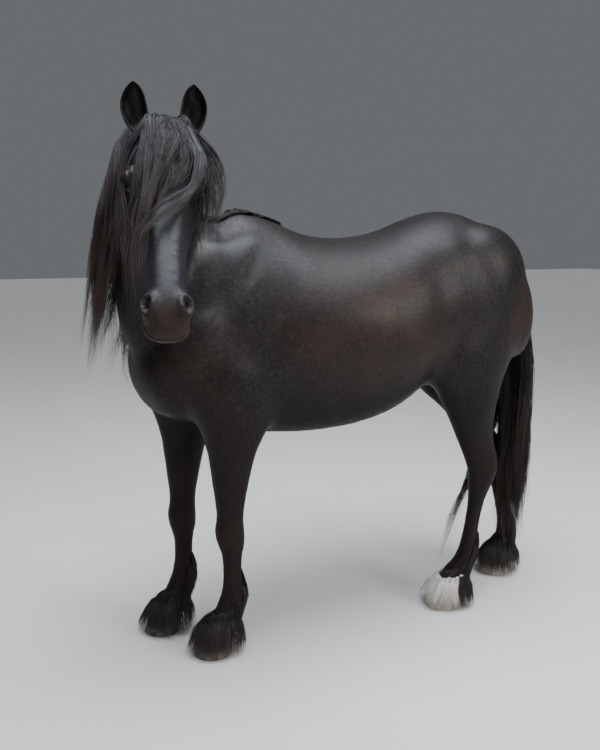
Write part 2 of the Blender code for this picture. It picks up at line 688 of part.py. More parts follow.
def piece_name(vertices):
    """The name of a piece of the parted flesh, told by where it lies."""
    x, y, _ = np.mean(vertices, axis=0)
    low, high = np.min(vertices, axis=0)[2], np.max(vertices, axis=0)[2]
    side = "left" if x > 0 else "right"
    pair = "fore" if y < 0.5 else "hind"
    if high < 0.55:
        return f"{pair}_cannon_{side}"
    if high < 1.2 and low < 0.6:
        return f"{pair}leg_{side}"
    if low > 1.1:
        return "head"
    return "neck" if y < 0.1 else "torso"


def eyeball(radius, side):
    """An eyeball of this radius, its poles pointing outwards."""
    x, y, z = EYE
    vertices, faces = ellipsoid((0, 0, 0), (radius, radius, radius), 90, 7, 14)
    return vertices + np.array(head_matrix() @ Vector((x * side, y, z))), faces


def eye_opening(side):
    """The almond between the lids, as a cutter running out from the eyeball's middle, wide along the face."""
    a = np.linspace(0, 2 * np.pi, 16, endpoint=False)
    wide, tall, slant = EYE_OPEN
    across = np.stack([0 * a, tall * np.sin(a) + slant * np.cos(a), wide * np.cos(a)], 1)
    rings = np.stack([across + (EYE[0] + reach, EYE[1], EYE[2]) for reach in (0.004, 0.045)])
    rings[:, :, 0] *= side
    return placed(ring_mesh(rings), head_matrix())


def nostril(side):
    """A nostril: an upright hollow turned outwards, as a cutter."""
    x, y, z = NOSTRIL
    turn = Matrix.Rotation(math.radians(NOSTRIL_TURN * side), 4, "Z")
    hollow = ellipsoid((0, 0, 0), NOSTRIL_RADII, 0, 6, 12)
    return placed(hollow, head_matrix() @ Matrix.Translation((x * side, y, z)) @ turn)


def mouth(tree):
    """The line of the mouth: a thin tube laid in the surface of the lips, from corner to corner."""
    u = np.linspace(-1, 1, 17)
    half, depth, corner, reach = MOUTH
    turn = u * np.pi / 2
    path = np.stack([half * np.sin(turn), depth + 0.006 * np.abs(u) ** 3, corner + reach * np.cos(turn)], 1)
    path, _ = placed((path, None), head_matrix())
    path = np.array([tree.find_nearest(Vector(point))[0] for point in path])
    off = np.array(head_matrix())[:3, 1]
    return strand(path, off, (0.002, 0.0026, 0.002), (0.003, 0.0055, 0.003), 17, 6, 1.0)


def carved_head(head):
    """Gives the head its lids, eye sockets, nostrils and mouth."""
    tree = tree_of([head])
    boolean(head, [mesh_object("lid", eyeball(EYE_RADIUS + LID_THICKNESS, side)) for side in (1, -1)], "UNION")
    for side in (1, -1):
        boolean(head, [mesh_object("socket", eyeball(EYE_RADIUS + EYE_SLACK, side))], "DIFFERENCE")
        boolean(head, [mesh_object("opening", eye_opening(side))], "DIFFERENCE")
        boolean(head, [mesh_object("nostril", nostril(side))], "DIFFERENCE")
    boolean(head, [mesh_object("mouth", mouth(tree))], "DIFFERENCE")


def leg_table(foot):
    """The smooth rows of the leg that stands on this foot."""
    return next(leg_rows(table, name) for name, table, _ in LEG_CUTS if name == foot)


def hoof(foot):
    """A hoof: a stack of rounded rings, sloping forward from the coronet down to a flat sole."""
    _, x, front, back, _ = leg_table(foot)[-1]
    t = np.linspace(0, 1, 4)[:, None]
    a = np.linspace(0, 2 * np.pi, 20, endpoint=False)
    reach = CORONET_RADIUS + SOLE_SPREAD * t
    heel = np.where(np.sin(a) < 0, 1.0, 0.92)
    across = x + (reach - 0.002) * np.cos(a)
    along = (front + back) / 2 + HOOF_BACK - HOOF_SLOPE * t + reach * heel * np.sin(a)
    height = GROUND + (HOOF_HEIGHT - TOE_RISE * np.sin(a) * (1 - t)) * (1 - t)
    return ring_mesh(np.stack(np.broadcast_arrays(across, along, height), -1))


def ear_profile(steps):
    """An ear's height fractions, and the radius of its outer wall and its sideways sway at each."""
    h = np.linspace(0, 1, steps)
    leaf = np.interp(h, (0, 0.12, 0.35, 0.6, 0.85, 1), (0.62, 0.80, 1.0, 0.90, 0.45, 0.06))
    return h, EAR_WIDTH / 2 * leaf, 0.010 * np.sin(np.pi * h) - 0.004 * h


def ear(side):
    """An ear: a cup opening forwards, with a solid root and a pointed tip.

    Its outer wall is an arc of the profile's radius, and its inner wall lies EAR_WALL inside it.
    """
    h, outer, sway = ear_profile(9)
    opening = np.interp(h, (0, 0.2, 0.6, 1), (0.35, 0.75, 1.25, 1.35))
    inner = np.clip(outer - EAR_WALL, 0.25 * outer, None) * np.clip((h - 0.02) / 0.14, 0.15, 1)
    angle = np.pi / 2 + (np.pi - opening[:, None]) * np.linspace(-1, 1, 7)
    walls = []
    for radius, direction in ((outer, 1), (inner, -1)):
        across = radius[:, None] * np.cos(angle)[:, ::direction] + side * sway[:, None]
        depth = -radius[:, None] * np.sin(angle)[:, ::direction] * EAR_DEPTH
        walls.append(np.stack([across, depth, 0 * across + h[:, None] * EAR_LENGTH], -1))
    return placed(ring_mesh(np.concatenate(walls, 1)), ear_matrix(side))


def ear_room(side, height, margin):
    """The room an ear takes up to a height fraction, with a margin, as a cutter."""
    h, outer, sway = ear_profile(12)
    outer, sway = np.interp(h * height, h, outer), np.interp(h * height, h, sway)
    a = np.linspace(0, 2 * np.pi, 20, endpoint=False)
    across = (outer + margin)[:, None] * np.cos(a) + side * sway[:, None]
    depth = (outer * EAR_DEPTH + margin)[:, None] * np.sin(a)
    up = (h * height * EAR_LENGTH)[:, None] + 0 * a
    up[0] -= margin
    return placed(ring_mesh(np.stack([across, depth, up], -1)), ear_matrix(side))


def ear_matrix(side):
    """From an ear's frame (across, forward, up) to the horse's: it stands beside the poll, cup to the front."""
    x, y, z = EAR_ROOT
    heading = math.radians(FACE_HEADING)
    ahead = Vector((math.cos(heading), math.sin(heading), 0))
    left = Vector((-math.sin(heading), math.cos(heading), 0))
    up = (Vector((0, 0, 1)) + left * (EAR_SPREAD * side) + ahead * EAR_FORWARD).normalized()
    front = (ahead - up * ahead.dot(up)).normalized()
    turn = Matrix((up.cross(front), front, up)).transposed().to_4x4()
    return Matrix.Translation(head_matrix() @ Vector((x * side, y, z))) @ turn


def strand(path, outward, thick, wide, rows=7, sides=4, crowd=1.15):
    """A flat tapering blade along a path: a closed tube of few sides, wide across `outward` and thin along it.

    Its rows stand at (i / last)^crowd of the path's length, so that they are closer near the root.
    """
    path = spline_rows(path, 8)
    steps = np.linspace(0, 1, rows) ** crowd
    path = np.stack([np.interp(steps, np.linspace(0, 1, len(path)), column) for column in path.T], -1)
    along = np.gradient(path, axis=0)
    along /= np.linalg.norm(along, axis=1)[:, None]
    across = np.cross(along, np.broadcast_to(outward, path.shape))
    across /= np.linalg.norm(across, axis=1)[:, None]
    thick = np.interp(steps, np.linspace(0, 1, len(thick)), thick)
    wide = np.interp(steps, np.linspace(0, 1, len(wide)), wide)
    return loft(path, across, np.cross(across, along), wide, thick, thick, 1.0, 1.0, sides)


def laid_over(path, tree, margins):
    """The path with each point after the root moved out until it stands its margin clear of the surface."""
    laid = [path[0]]
    for point, margin in zip(path[1:], margins[1:]):
        near, normal, _, _ = tree.find_nearest(Vector(point))
        height = (Vector(point) - near).dot(normal)
        laid.append(np.array(near + normal * margin) if height < margin else point)
    return np.array(laid)


def waved(path, direction, rng, size, turns):
    """The path swayed along a direction by size * sin(turns * s + phase), growing from nothing at the root."""
    s = np.linspace(0, 1, len(path))
    size, turns, phase = rng.uniform(*size), rng.uniform(*turns), rng.uniform(0, 2 * np.pi)
    sway = size * np.sin(2 * np.pi * turns * s + phase) * np.clip(3 * s, 0, 1)
    return path + sway[:, None] * np.asarray(direction)


def along_neck(t, numbers):
    """The row of numbers at a share t of the neck's length."""
    place = t * (len(numbers) - 1)
    return np.array([np.interp(place, np.arange(len(numbers)), column) for column in numbers.T])


def mane_lock(t, side, layer, rng, rows, frame):
    """One blade's path: out of the crest, over the neck to one side, and down past it."""
    centre, left, up = (along_neck(t, numbers) for numbers in frame)
    _, _, _, half, top, _ = along_neck(t, rows)
    aside = left * side
    reach = np.interp(t, *MANE_REACH) * rng.uniform(0.85, 1.1) * (0.42 if side > 0 else 1)
    drift = np.array((0, 0, -1.0)) + np.array(MANE_DRIFT) * (side < 0)
    fall = centre - up * 0.01 + aside * (half + layer + 0.010)
    path = [centre + up * (top - 0.022) + aside * 0.004]
    path.append(centre + up * (top + 0.5 * layer) + aside * 0.022)
    path.append(centre + up * (top * 0.72 + 0.7 * layer) + aside * (half * 0.68 + 0.7 * layer))
    path += [fall + drift * reach * part for part in (0, 0.33, 0.66, 1.0)]
    return waved(np.array(path), np.cross(aside, up), rng, (0.006, 0.016), (1.0, 1.8)), aside


def mane_locks(tree):
    """The mane: blades rooted in the crest and hanging past the neck on the right, a few on the left."""
    rng = np.random.default_rng(3)
    rows, *frame = neck_frame()
    shares = [((k * 7) % MANE_LOCKS + 0.5) / MANE_LOCKS for k in range(MANE_LOCKS)]
    stations = [(0.14 + 0.85 * share**0.8, -1) for share in shares]
    stations += [(0.86 + 0.13 * (k + 0.5) / MANE_LEFT_LOCKS, 1) for k in range(MANE_LEFT_LOCKS)]
    shapes = []
    for k, (t, side) in enumerate(stations):
        layer = 0.006 + MANE_LAYER * (k % 3) + 0.020 * (side > 0)
        path, aside = mane_lock(t + rng.uniform(-0.01, 0.01), side, layer, rng, rows, frame)
        hang = (layer + 0.006, layer + 0.006, layer, layer)
        path = laid_over(path, tree, (0, 0.006, 0.4 * layer + 0.008, *hang))
        shapes.append(strand(path, aside, LOCK_THICK, rng.uniform(0.028, 0.036) * np.array(MANE_WIDTHS), 6))
    return shapes


def before_poll():
    """A large block that starts at the poll and lies before it, to keep the mane off the forelock."""
    heading = Matrix.Rotation(math.radians(90 + FACE_HEADING), 4, "Z")
    tilt = Matrix.Rotation(math.radians(PARTING), 4, "X")
    corners = [(x, y, z) for z in (-0.9, 0.3) for x, y in ((-0.5, 0), (0.5, 0), (0.5, -0.6), (-0.5, -0.6))]
    faces = [(0, 1, 2, 3), (7, 6, 5, 4)] + [(i, i + 4, (i + 1) % 4 + 4, (i + 1) % 4) for i in range(4)]
    return placed((np.array(corners), faces), Matrix.Translation(POLL) @ heading @ tilt)


def forelock_locks(tree):
    """The forelock: blades rooted between the ears, falling over the brow, most of them to the right."""
    rng = np.random.default_rng(8)
    matrix = np.array(head_matrix())
    shapes = []
    for k, (x0, x1, x2, x3, reach) in enumerate(FORELOCK):
        layer = 0.004 + 0.010 * (k % 3)
        down = (0.018, 0.038, 0.38 * reach, 0.68 * reach, reach)
        off = (-0.016, 0.016 + layer, 0.020 + layer, 0.012 + layer, -0.005 + layer)
        path, _ = placed((np.stack([(x0, x0 * 1.1, x1, x2, x3), off, down], 1), None), matrix)
        path = waved(path, matrix[:3, 0], rng, (0.003, 0.008), (0.8, 1.6))
        path = laid_over(path, tree, (0, 0.007, 0.004 + layer, 0.004 + layer, 0.002 + layer))
        wide = rng.uniform(0.013, 0.018) * np.array(FORELOCK_WIDTHS)
        shapes.append(strand(path, matrix[:3, 1], FORELOCK_THICK, wide, 5))
    return shapes


def tail_core():
    """The dock and the densest hair round it, to less than half way down."""
    y, z, thick, wide = np.array(TAIL_CORE).T
    return strand(np.stack([0 * y, y, z], 1), (0, 1, 0), thick, wide, 9, 10)


def tail_locks(tree):
    """The tail's hair: blades rooted round the core and hanging almost to the ground, and two thin wisps."""
    rng = np.random.default_rng(12)
    core = np.array(TAIL_CORE)[::-1]
    shapes = []
    for k in range(TAIL_LOCKS):
        level = 1.38 - 0.50 * ((k * 5) % TAIL_LOCKS) / TAIL_LOCKS
        angle = GOLDEN_ANGLE * k + rng.uniform(-0.3, 0.3)
        out = np.array((math.cos(angle), math.sin(angle), 0))
        root = np.array((0, np.interp(level, core[:, 1], core[:, 0]), level)) + out * 0.012
        drop = level - GROUND - rng.uniform(0.08, 0.32)
        path = [root, root + out * 0.040 + (0, 0.004, -0.08 * drop)]
        for part, spread in TAIL_SPREAD:
            middle = np.array((0, TAIL_CORE[-1][0] + 0.008 * part, level - part * drop))
            wide, deep = spread * rng.uniform(0.75, 1.1), spread * 0.72 * rng.uniform(0.8, 1.1)
            path.append(middle + out * (wide, deep, 0))
        path = waved(np.array(path), (-out[1], out[0], 0), rng, (0.008, 0.020), (1.0, 2.0))
        path = laid_over(path, tree, (0, 0, 0.010, 0.010, 0.010, 0.010))
        shapes.append(strand(path, out, TAIL_THICK, rng.uniform(0.026, 0.035) * np.array(TAIL_WIDTHS), 6))
    for x, tip in WISPS:
        path = np.array([(x, y, z) for y, z in WISP_PATH] + [tip])
        shapes.append(strand(path, (0, 1, 0), FORELOCK_THICK, 0.011 * np.array(FORELOCK_WIDTHS), 6))
    return shapes


def feather_locks(foot, tree):
    """One leg's feather: blades rooted in the back and sides of the cannon, spreading over the hoof."""
    rng = np.random.default_rng(20 + len(foot) + (foot[0] == "h"))
    rows = leg_table(foot)[::-1]
    shapes = []
    for k in range(FEATHER_LOCKS):
        angle = math.radians(-135 + 270 * ((k * 4) % FEATHER_LOCKS + 0.5) / FEATHER_LOCKS)
        out = np.array((math.sin(angle), math.cos(angle), 0))
        behind = max(out[1], 0)
        top = (0.235 + 0.110 * behind) * rng.uniform(0.85, 1.1) if k % 3 else 0.185 + 0.05 * behind
        end = GROUND + rng.uniform(0.008, 0.026) + 0.012 * max(-out[1], 0)
        flare = rng.uniform(0.030, 0.048)
        middle = (top + end) / 2
        path = [on_leg(rows, top, out, -0.012), on_leg(rows, top - 0.035, out, 0.006)]
        path.append(on_leg(rows, max(middle, 0.13), out, 0.55 * flare))
        path[2][2] = middle
        for height, extra in ((end + 0.25 * (middle - end), 0.0), (end, 0.006)):
            point = on_leg(rows, 0.125, out, flare + extra) + (0, 0.012 + 0.012 * out[1], 0)
            path.append(np.array((point[0], point[1], height)))
        path = waved(np.array(path), np.cross(out, (0, 0, 1)), rng, (0.002, 0.006), (0.8, 1.4))
        path = laid_over(path, tree, (0, 0.003, 0.006, 0.007, 0.007))
        path[:, 2] = np.maximum(path[:, 2], GROUND + 0.007)
        shapes.append(strand(path, out, FEATHER_THICK, rng.uniform(0.023, 0.029) * np.array(FEATHER_WIDTHS), 5))
    return shapes


def on_leg(rows, height, out, extra):
    """A point round the leg at a height, in the direction `out`, this far outside its surface."""
    x, front, back, half = (np.interp(height, rows[:, 0], rows[:, k]) for k in (1, 2, 3, 4))
    deep = (back - front) / 2 + extra
    return np.array((x + out[0] * (half + extra), (front + back) / 2 + out[1] * deep, height))


def material(obj, colour, roughness):
    """Gives the object its own material."""
    surface = bpy.data.materials.new(obj.name)
    surface.use_nodes = True
    shader = surface.node_tree.nodes["Principled BSDF"]
    shader.inputs["Base Color"].default_value = (*colour, 1)
    shader.inputs["Roughness"].default_value = roughness
    shader.inputs["Metallic"].default_value = 0.0
    obj.data.materials.clear()
    obj.data.materials.append(surface)


def tree_of(objects):
    """A search tree over the surfaces of several objects."""
    vertices, faces = [], []
    for obj in objects:
        start = len(vertices)
        vertices += [vertex.co.copy() for vertex in obj.data.vertices]
        faces += [[i + start for i in face.vertices] for face in obj.data.polygons]
    return BVHTree.FromPolygons(vertices, faces)


def grow_hair(node, shapes, cutters):
    """Fuses blades of hair to a node and takes the cutters from it."""
    boolean(node, [mesh_object("blade", shape) for shape in shapes], "UNION", "MANIFOLD")
    boolean(node, cutters, "DIFFERENCE", "MANIFOLD")
    largest_piece(node)


def ear_rooms(height, margin):
    """Cutters for the room that both ears take."""
    return [mesh_object("room", ear_room(side, height, margin)) for side in (1, -1)]


def flesh_nodes():
    """The parted flesh as named objects, and a search tree over the whole skin."""
    flesh = reduced(body(), BODY_TRIANGLES)
    skin = tree_of([flesh])
    boolean(flesh, [mesh_object("cut", cut) for cut in part_cuts()], "DIFFERENCE")
    nodes = {}
    for vertices, faces in pieces_of(flesh):
        if len(vertices) > 40:
            name = piece_name(vertices)
            nodes[name] = mesh_object(name, (vertices, faces))
    return nodes, skin


def add_details(nodes):
    """Carves the head and adds the eyes, the ears and the hooves."""
    carved_head(nodes["head"])
    for side, word in ((1, "left"), (-1, "right")):
        nodes[f"eye_{word}"] = mesh_object(f"eye_{word}", eyeball(EYE_RADIUS, side))
        nodes[f"ear_{word}"] = mesh_object(f"ear_{word}", ear(side))
    for name in ("head", "neck"):
        boolean(nodes[name], ear_rooms(0.6, CLEAR), "DIFFERENCE")
    for foot, _, _ in LEG_CUTS:
        name = foot.replace("_", "_hoof_")
        nodes[name] = mesh_object(name, hoof(foot))


def add_hair(nodes, skin):
    """Grows the tail, the feathers, the mane and the forelock."""
    nodes["tail"] = mesh_object("tail", tail_core())
    behind = [nodes[name] for name in nodes if name == "torso" or name.startswith(("hindleg", "hind_cannon"))]
    grow_hair(nodes["tail"], tail_locks(tree_of(behind)), [grown(node, CLEAR) for node in behind])
    for foot, _, _ in LEG_CUTS:
        cannon, shell = nodes[foot.replace("_", "_cannon_")], nodes[foot.replace("_", "_hoof_")]
        grow_hair(cannon, feather_locks(foot, tree_of([cannon, shell])), [grown(shell, CLEAR)])
    around = [grown(nodes["torso"], CLEAR), grown(nodes["head"], CLEAR), mesh_object("brow", before_poll())]
    grow_hair(nodes["neck"], mane_locks(skin), around + ear_rooms(1.0, 2 * CLEAR))
    grow_hair(nodes["head"], forelock_locks(skin), ear_rooms(1.0, 2 * CLEAR))


def main():
    """Builds the horse and returns how far it was moved to stand over the origin."""
    for obj in list(bpy.data.objects):
        bpy.data.objects.remove(obj)
    nodes, skin = flesh_nodes()
    add_details(nodes)
    add_hair(nodes, skin)
    points = np.array([vertex.co for node in nodes.values() for vertex in node.data.vertices])
    low, high = points.min(axis=0), points.max(axis=0)
    shift = Vector((-(low[0] + high[0]) / 2, -(low[1] + high[1]) / 2, -low[2]))
    for name, node in nodes.items():
        node.data.transform(Matrix.Translation(shift))
        kind = "white" if name == "hind_hoof_left" else "hoof" if "hoof" in name else name.split("_")[0]
        material(node, *COLOURS[kind])
    return shift


SHIFTED = main()
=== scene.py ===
"""A Friesian horse as a still, life-size model: one skin with its short coat, mane, tail and feather in
strands, eyes and hooves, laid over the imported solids.

Metres. +X is the horse's left, +Y runs back from its chest to its tail, +Z is up, and the soles stand on Z = 0.
The tables are written in a working frame whose ground lies at Z = GROUND. SHIFT carries it to the solids'.
"""

import json
import math

import bmesh
import bpy
import numpy as np
from mathutils import Matrix, Vector
from mathutils.bvhtree import BVHTree

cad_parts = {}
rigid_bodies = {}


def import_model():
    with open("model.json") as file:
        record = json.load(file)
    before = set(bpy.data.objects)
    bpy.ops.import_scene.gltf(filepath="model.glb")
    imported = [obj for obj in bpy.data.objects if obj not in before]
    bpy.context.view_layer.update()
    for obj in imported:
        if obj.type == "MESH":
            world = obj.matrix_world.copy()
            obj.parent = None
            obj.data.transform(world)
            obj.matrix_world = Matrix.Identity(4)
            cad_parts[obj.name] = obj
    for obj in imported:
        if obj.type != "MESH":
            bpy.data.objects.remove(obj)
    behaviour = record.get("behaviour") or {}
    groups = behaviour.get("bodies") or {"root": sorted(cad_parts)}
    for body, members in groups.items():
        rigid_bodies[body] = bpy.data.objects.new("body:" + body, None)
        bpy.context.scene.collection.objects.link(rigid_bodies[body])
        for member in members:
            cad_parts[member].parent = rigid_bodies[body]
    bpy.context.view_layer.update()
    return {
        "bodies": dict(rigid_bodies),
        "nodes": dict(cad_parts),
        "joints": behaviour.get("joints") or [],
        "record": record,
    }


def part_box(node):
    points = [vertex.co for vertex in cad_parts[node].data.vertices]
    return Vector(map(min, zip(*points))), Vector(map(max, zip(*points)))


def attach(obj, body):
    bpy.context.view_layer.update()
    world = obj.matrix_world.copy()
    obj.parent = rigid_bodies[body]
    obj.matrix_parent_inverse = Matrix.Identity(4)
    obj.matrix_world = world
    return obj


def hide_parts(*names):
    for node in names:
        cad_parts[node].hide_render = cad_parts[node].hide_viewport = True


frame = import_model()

# The flesh: fineness of its first mesh, and how deep the skin lies under the ends of the coat
CLAY_VOXEL = 0.012
COAT_DEPTH = 0.0015

# Colours of the coat, the hair and the horn
BLACK = (0.0055, 0.0045, 0.0050)
BROWN_BLACK = (0.0100, 0.0066, 0.0060)
RUST = (0.034, 0.016, 0.010)
DUST = (0.034, 0.028, 0.026)
# A bluish grey for the painted sheen down the nose's ridge
PAINTED_NOSE_SHEEN = (0.022, 0.025, 0.031)
LEG_BROWN = (0.0150, 0.0085, 0.0062)
MUZZLE_BROWN = (0.042, 0.025, 0.019)
WHITE_HAIR = (0.88, 0.85, 0.80)
MANE_DARK = (0.0085, 0.0068, 0.0075)
MANE_LIGHT = (0.056, 0.044, 0.046)
MANE_TIP = (0.055, 0.031, 0.024)
FORELOCK_LIGHT = (0.030, 0.027, 0.031)

# Long hair: how many locks each part has, and the angle by which each of the tail's turns from the last
MANE_LOCKS = 84
MANE_LEFT_LOCKS = 14
FORELOCK_LOCKS = 42
CURL_LOCKS = 4
CREST_LOCKS = 64
TAIL_LOCKS = 64
FEATHER_LOCKS = 54
GOLDEN_ANGLE = 2.399963

# Heights along the legs: the ground under the soles, and the bands in which a leg shortens and leans
GROUND = 0.030
SHANK_TOP = 0.50
ELBOW_HEIGHT = 0.90
FETLOCK_HEIGHT = 0.12
FOOT_OUT = 0.13
KNEE_CUT = 0.400
HOCK_CUT = 0.480

# Hooves: height at the heel, its rise to the toe, radius at the coronet and its growth to the sole
HOOF_HEIGHT = 0.078
TOE_RISE = 0.018
CORONET_RADIUS = 0.058
SOLE_SPREAD = 0.011
HOOF_BACK = 0.004
HOOF_SLOPE = 0.014

# Eyes in the head's frame, with their lids and the almond between them
EYE_RADIUS = 0.0225
EYE = (0.092, -0.024, 0.205)
EYE_SLACK = 0.0004
LID_THICKNESS = 0.0050
EYE_OPEN = (0.0195, 0.0115, 0.004)

# Nostrils in the head's frame: middle, radii, turn in degrees
NOSTRIL = (0.052, -0.042, 0.598)
NOSTRIL_RADII = (0.0095, 0.017, 0.019)
NOSTRIL_TURN = -28

# The line of the mouth: half width, depth below the face line, where its corners lie and how far it reaches on
MOUTH = (0.062, -0.097, 0.560, 0.100)

# Ears: they stand this far from the poll in the head's frame, lean apart and forward, and are cups of thin wall
EAR_ROOT = (0.060, -0.030, 0.026)
EAR_LENGTH = 0.135
EAR_WIDTH = 0.068
EAR_WALL = 0.006
EAR_DEPTH = 0.9
EAR_SPREAD = 0.20
EAR_FORWARD = 0.10

# The mane's hang below the widest of the neck, by the share of the neck's length it is rooted at
MANE_REACH = ((0.1, 0.3, 0.6, 0.9, 1.0), (0.20, 0.36, 0.44, 0.44, 0.40))
MANE_LAYER = 0.015
MANE_DRIFT = (0.05, -0.16, 0.0)
PARTING = -8.0

# The tail: its core's Y, Z, half thickness and half width, and its locks' spread at shares of their drop
TAIL_CORE = (
    (1.130, 1.425, 0.026, 0.026),
    (1.200, 1.400, 0.032, 0.034),
    (1.257, 1.320, 0.040, 0.048),
    (1.283, 1.180, 0.046, 0.058),
    (1.293, 1.000, 0.038, 0.046),
    (1.298, 0.840, 0.010, 0.010),
)
TAIL_SPREAD = ((0.30, 0.078), (0.55, 0.088), (0.78, 0.078), (1.0, 0.050))
# Two thin strands of the tail that hang forward between the hind legs: X at the root, and the tip
WISPS = ((-0.030, (-0.020, 0.935, 0.100)), (-0.045, (-0.040, 0.965, 0.140)))
WISP_PATH = ((1.275, 0.82), (1.175, 0.60), (1.065, 0.38))

# Where each foot stands: how far its leg is set back at the elbow or stifle and at the foot, and how far out
STANCE = {
    "fore_left": (0.000, 0.000, 0.105),
    "fore_right": (-0.076, -0.115, -0.135),
    "hind_left": (-0.030, -0.165, 0.130),
    "hind_right": (0.060, 0.235, -0.055),
}

# The trunk, from breast to buttocks: Y, widest height, half width, top, bottom, pinch of the top
TRUNK = (
    (-0.305, 1.06, 0.080, 1.13, 0.98, 1.0),
    (-0.250, 1.07, 0.160, 1.24, 0.90, 1.0),
    (-0.160, 1.08, 0.205, 1.38, 0.855, 1.1),
    (-0.050, 1.11, 0.225, 1.50, 0.830, 1.3),
    (0.060, 1.12, 0.243, 1.565, 0.800, 1.45),
    (0.180, 1.13, 0.272, 1.540, 0.783, 1.3),
    (0.320, 1.13, 0.300, 1.485, 0.775, 1.1),
    (0.480, 1.13, 0.315, 1.475, 0.785, 1.0),
    (0.630, 1.15, 0.308, 1.500, 0.822, 0.95),
    (0.760, 1.20, 0.283, 1.548, 0.895, 0.92),
    (0.870, 1.23, 0.270, 1.575, 0.960, 0.90),
    (0.980, 1.25, 0.262, 1.560, 1.000, 0.88),
    (1.085, 1.25, 0.240, 1.492, 1.020, 0.86),
    (1.175, 1.24, 0.190, 1.405, 1.060, 0.9),
    (1.235, 1.23, 0.105, 1.315, 1.130, 1.0),
)

# A foreleg down from the arm: Z, X, front Y, back Y, half width
FORELEG = (
    (1.14, 0.150, -0.190, 0.110, 0.080),
    (1.02, 0.162, -0.195, 0.145, 0.092),
    (0.92, 0.160, -0.160, 0.150, 0.088),
    (0.84, 0.150, -0.120, 0.125, 0.076),
    (0.76, 0.142, -0.095, 0.086, 0.064),
    (0.66, 0.136, -0.078, 0.060, 0.055),
    (0.56, 0.132, -0.062, 0.042, 0.046),
    (0.51, 0.130, -0.060, 0.038, 0.047),
    (0.47, 0.130, -0.066, 0.042, 0.049),
    (0.42, 0.130, -0.056, 0.043, 0.043),
    (0.37, 0.130, -0.041, 0.036, 0.032),
    (0.30, 0.130, -0.037, 0.035, 0.029),
    (0.24, 0.130, -0.041, 0.044, 0.034),
    (0.20, 0.130, -0.052, 0.050, 0.041),
    (0.155, 0.130, -0.072, 0.024, 0.036),
    (0.11, 0.130, -0.098, -0.003, 0.040),
    (0.07, 0.130, -0.112, -0.016, 0.045),
    (0.050, 0.130, -0.110, -0.022, 0.040),
)

# A hind leg down from the hip: Z, X, front Y, back Y, half width
HINDLEG = (
    (1.38, 0.120, 0.870, 1.110, 0.090),
    (1.25, 0.145, 0.795, 1.190, 0.112),
    (1.12, 0.152, 0.765, 1.190, 0.116),
    (1.00, 0.158, 0.775, 1.150, 0.106),
    (0.90, 0.154, 0.835, 1.115, 0.088),
    (0.80, 0.145, 0.915, 1.125, 0.068),
    (0.70, 0.136, 0.985, 1.150, 0.052),
    (0.62, 0.130, 1.040, 1.190, 0.046),
    (0.56, 0.130, 1.073, 1.202, 0.049),
    (0.50, 0.130, 1.088, 1.182, 0.045),
    (0.44, 0.130, 1.097, 1.168, 0.034),
    (0.34, 0.130, 1.100, 1.162, 0.030),
    (0.25, 0.130, 1.096, 1.168, 0.035),
    (0.20, 0.130, 1.084, 1.172, 0.041),
    (0.155, 0.130, 1.058, 1.144, 0.037),
    (0.11, 0.130, 1.026, 1.116, 0.040),
    (0.07, 0.130, 1.006, 1.100, 0.045),
    (0.050, 0.130, 1.008, 1.094, 0.040),
)

# The neck, from the shoulders to the poll: centre X, Y, Z, half width, reach to the crest, reach to the throat
NECK = (
    (0.000, 0.080, 1.180, 0.160, 0.270, 0.260),
    (0.000, -0.060, 1.255, 0.165, 0.262, 0.280),
    (0.022, -0.170, 1.345, 0.140, 0.238, 0.270),
    (0.085, -0.250, 1.440, 0.114, 0.212, 0.215),
    (0.185, -0.290, 1.535, 0.097, 0.184, 0.165),
    (0.292, -0.297, 1.620, 0.084, 0.150, 0.130),
    (0.385, -0.285, 1.678, 0.072, 0.108, 0.105),
)

# The skull, down the face from the poll: distance, half width, face line, jaw line, widest line, jaw pinch
POLL = (0.430, -0.290, 1.790)
FACE_HEADING = -13.0
FACE_SLOPE = 37.0
HEAD_ROLL = -2.0
SKULL = (
    (-0.020, 0.045, -0.020, -0.110, -0.065, 1.0),
    (0.020, 0.068, 0.000, -0.150, -0.070, 1.0),
    (0.080, 0.080, 0.012, -0.200, -0.068, 1.0),
    (0.150, 0.090, 0.014, -0.230, -0.060, 1.0),
    (0.210, 0.090, 0.008, -0.232, -0.052, 1.1),
    (0.270, 0.076, 0.001, -0.212, -0.050, 1.15),
    (0.340, 0.063, -0.004, -0.182, -0.050, 1.15),
    (0.420, 0.054, -0.007, -0.154, -0.052, 1.0),
    (0.500, 0.051, -0.010, -0.136, -0.058, 0.9),
    (0.560, 0.053, -0.015, -0.134, -0.064, 0.85),
    (0.610, 0.051, -0.028, -0.132, -0.074, 0.85),
    (0.644, 0.036, -0.050, -0.116, -0.082, 0.9),
)

# Relief of the head on both sides, in its own frame: centre, reach across, off the face and down it, height
RELIEF = (
    ((0.086, -0.004, 0.180), (0.030, 0.017, 0.036), 0.011),
    ((0.062, 0.004, 0.128), (0.022, 0.030, 0.030), -0.008),
    ((0.074, -0.074, 0.265), (0.030, 0.014, 0.040), 0.006),
    ((0.060, -0.070, 0.340), (0.030, 0.012, 0.040), 0.005),
    ((0.085, -0.150, 0.175), (0.050, 0.060, 0.070), 0.007),
    ((0.080, -0.120, 0.255), (0.040, 0.030, 0.030), -0.005),
    ((0.052, -0.040, 0.385), (0.026, 0.018, 0.080), -0.005),
    ((0.022, -0.004, 0.420), (0.014, 0.014, 0.120), 0.003),
    ((0.046, -0.042, 0.575), (0.022, 0.020, 0.026), 0.006),
    ((0.054, -0.062, 0.610), (0.018, 0.014, 0.020), 0.005),
    ((0.040, -0.100, 0.520), (0.030, 0.014, 0.030), -0.005),
    ((0.000, -0.060, 0.645), (0.020, 0.020, 0.020), 0.004),
    ((0.020, -0.128, 0.590), (0.025, 0.020, 0.022), 0.006),
)

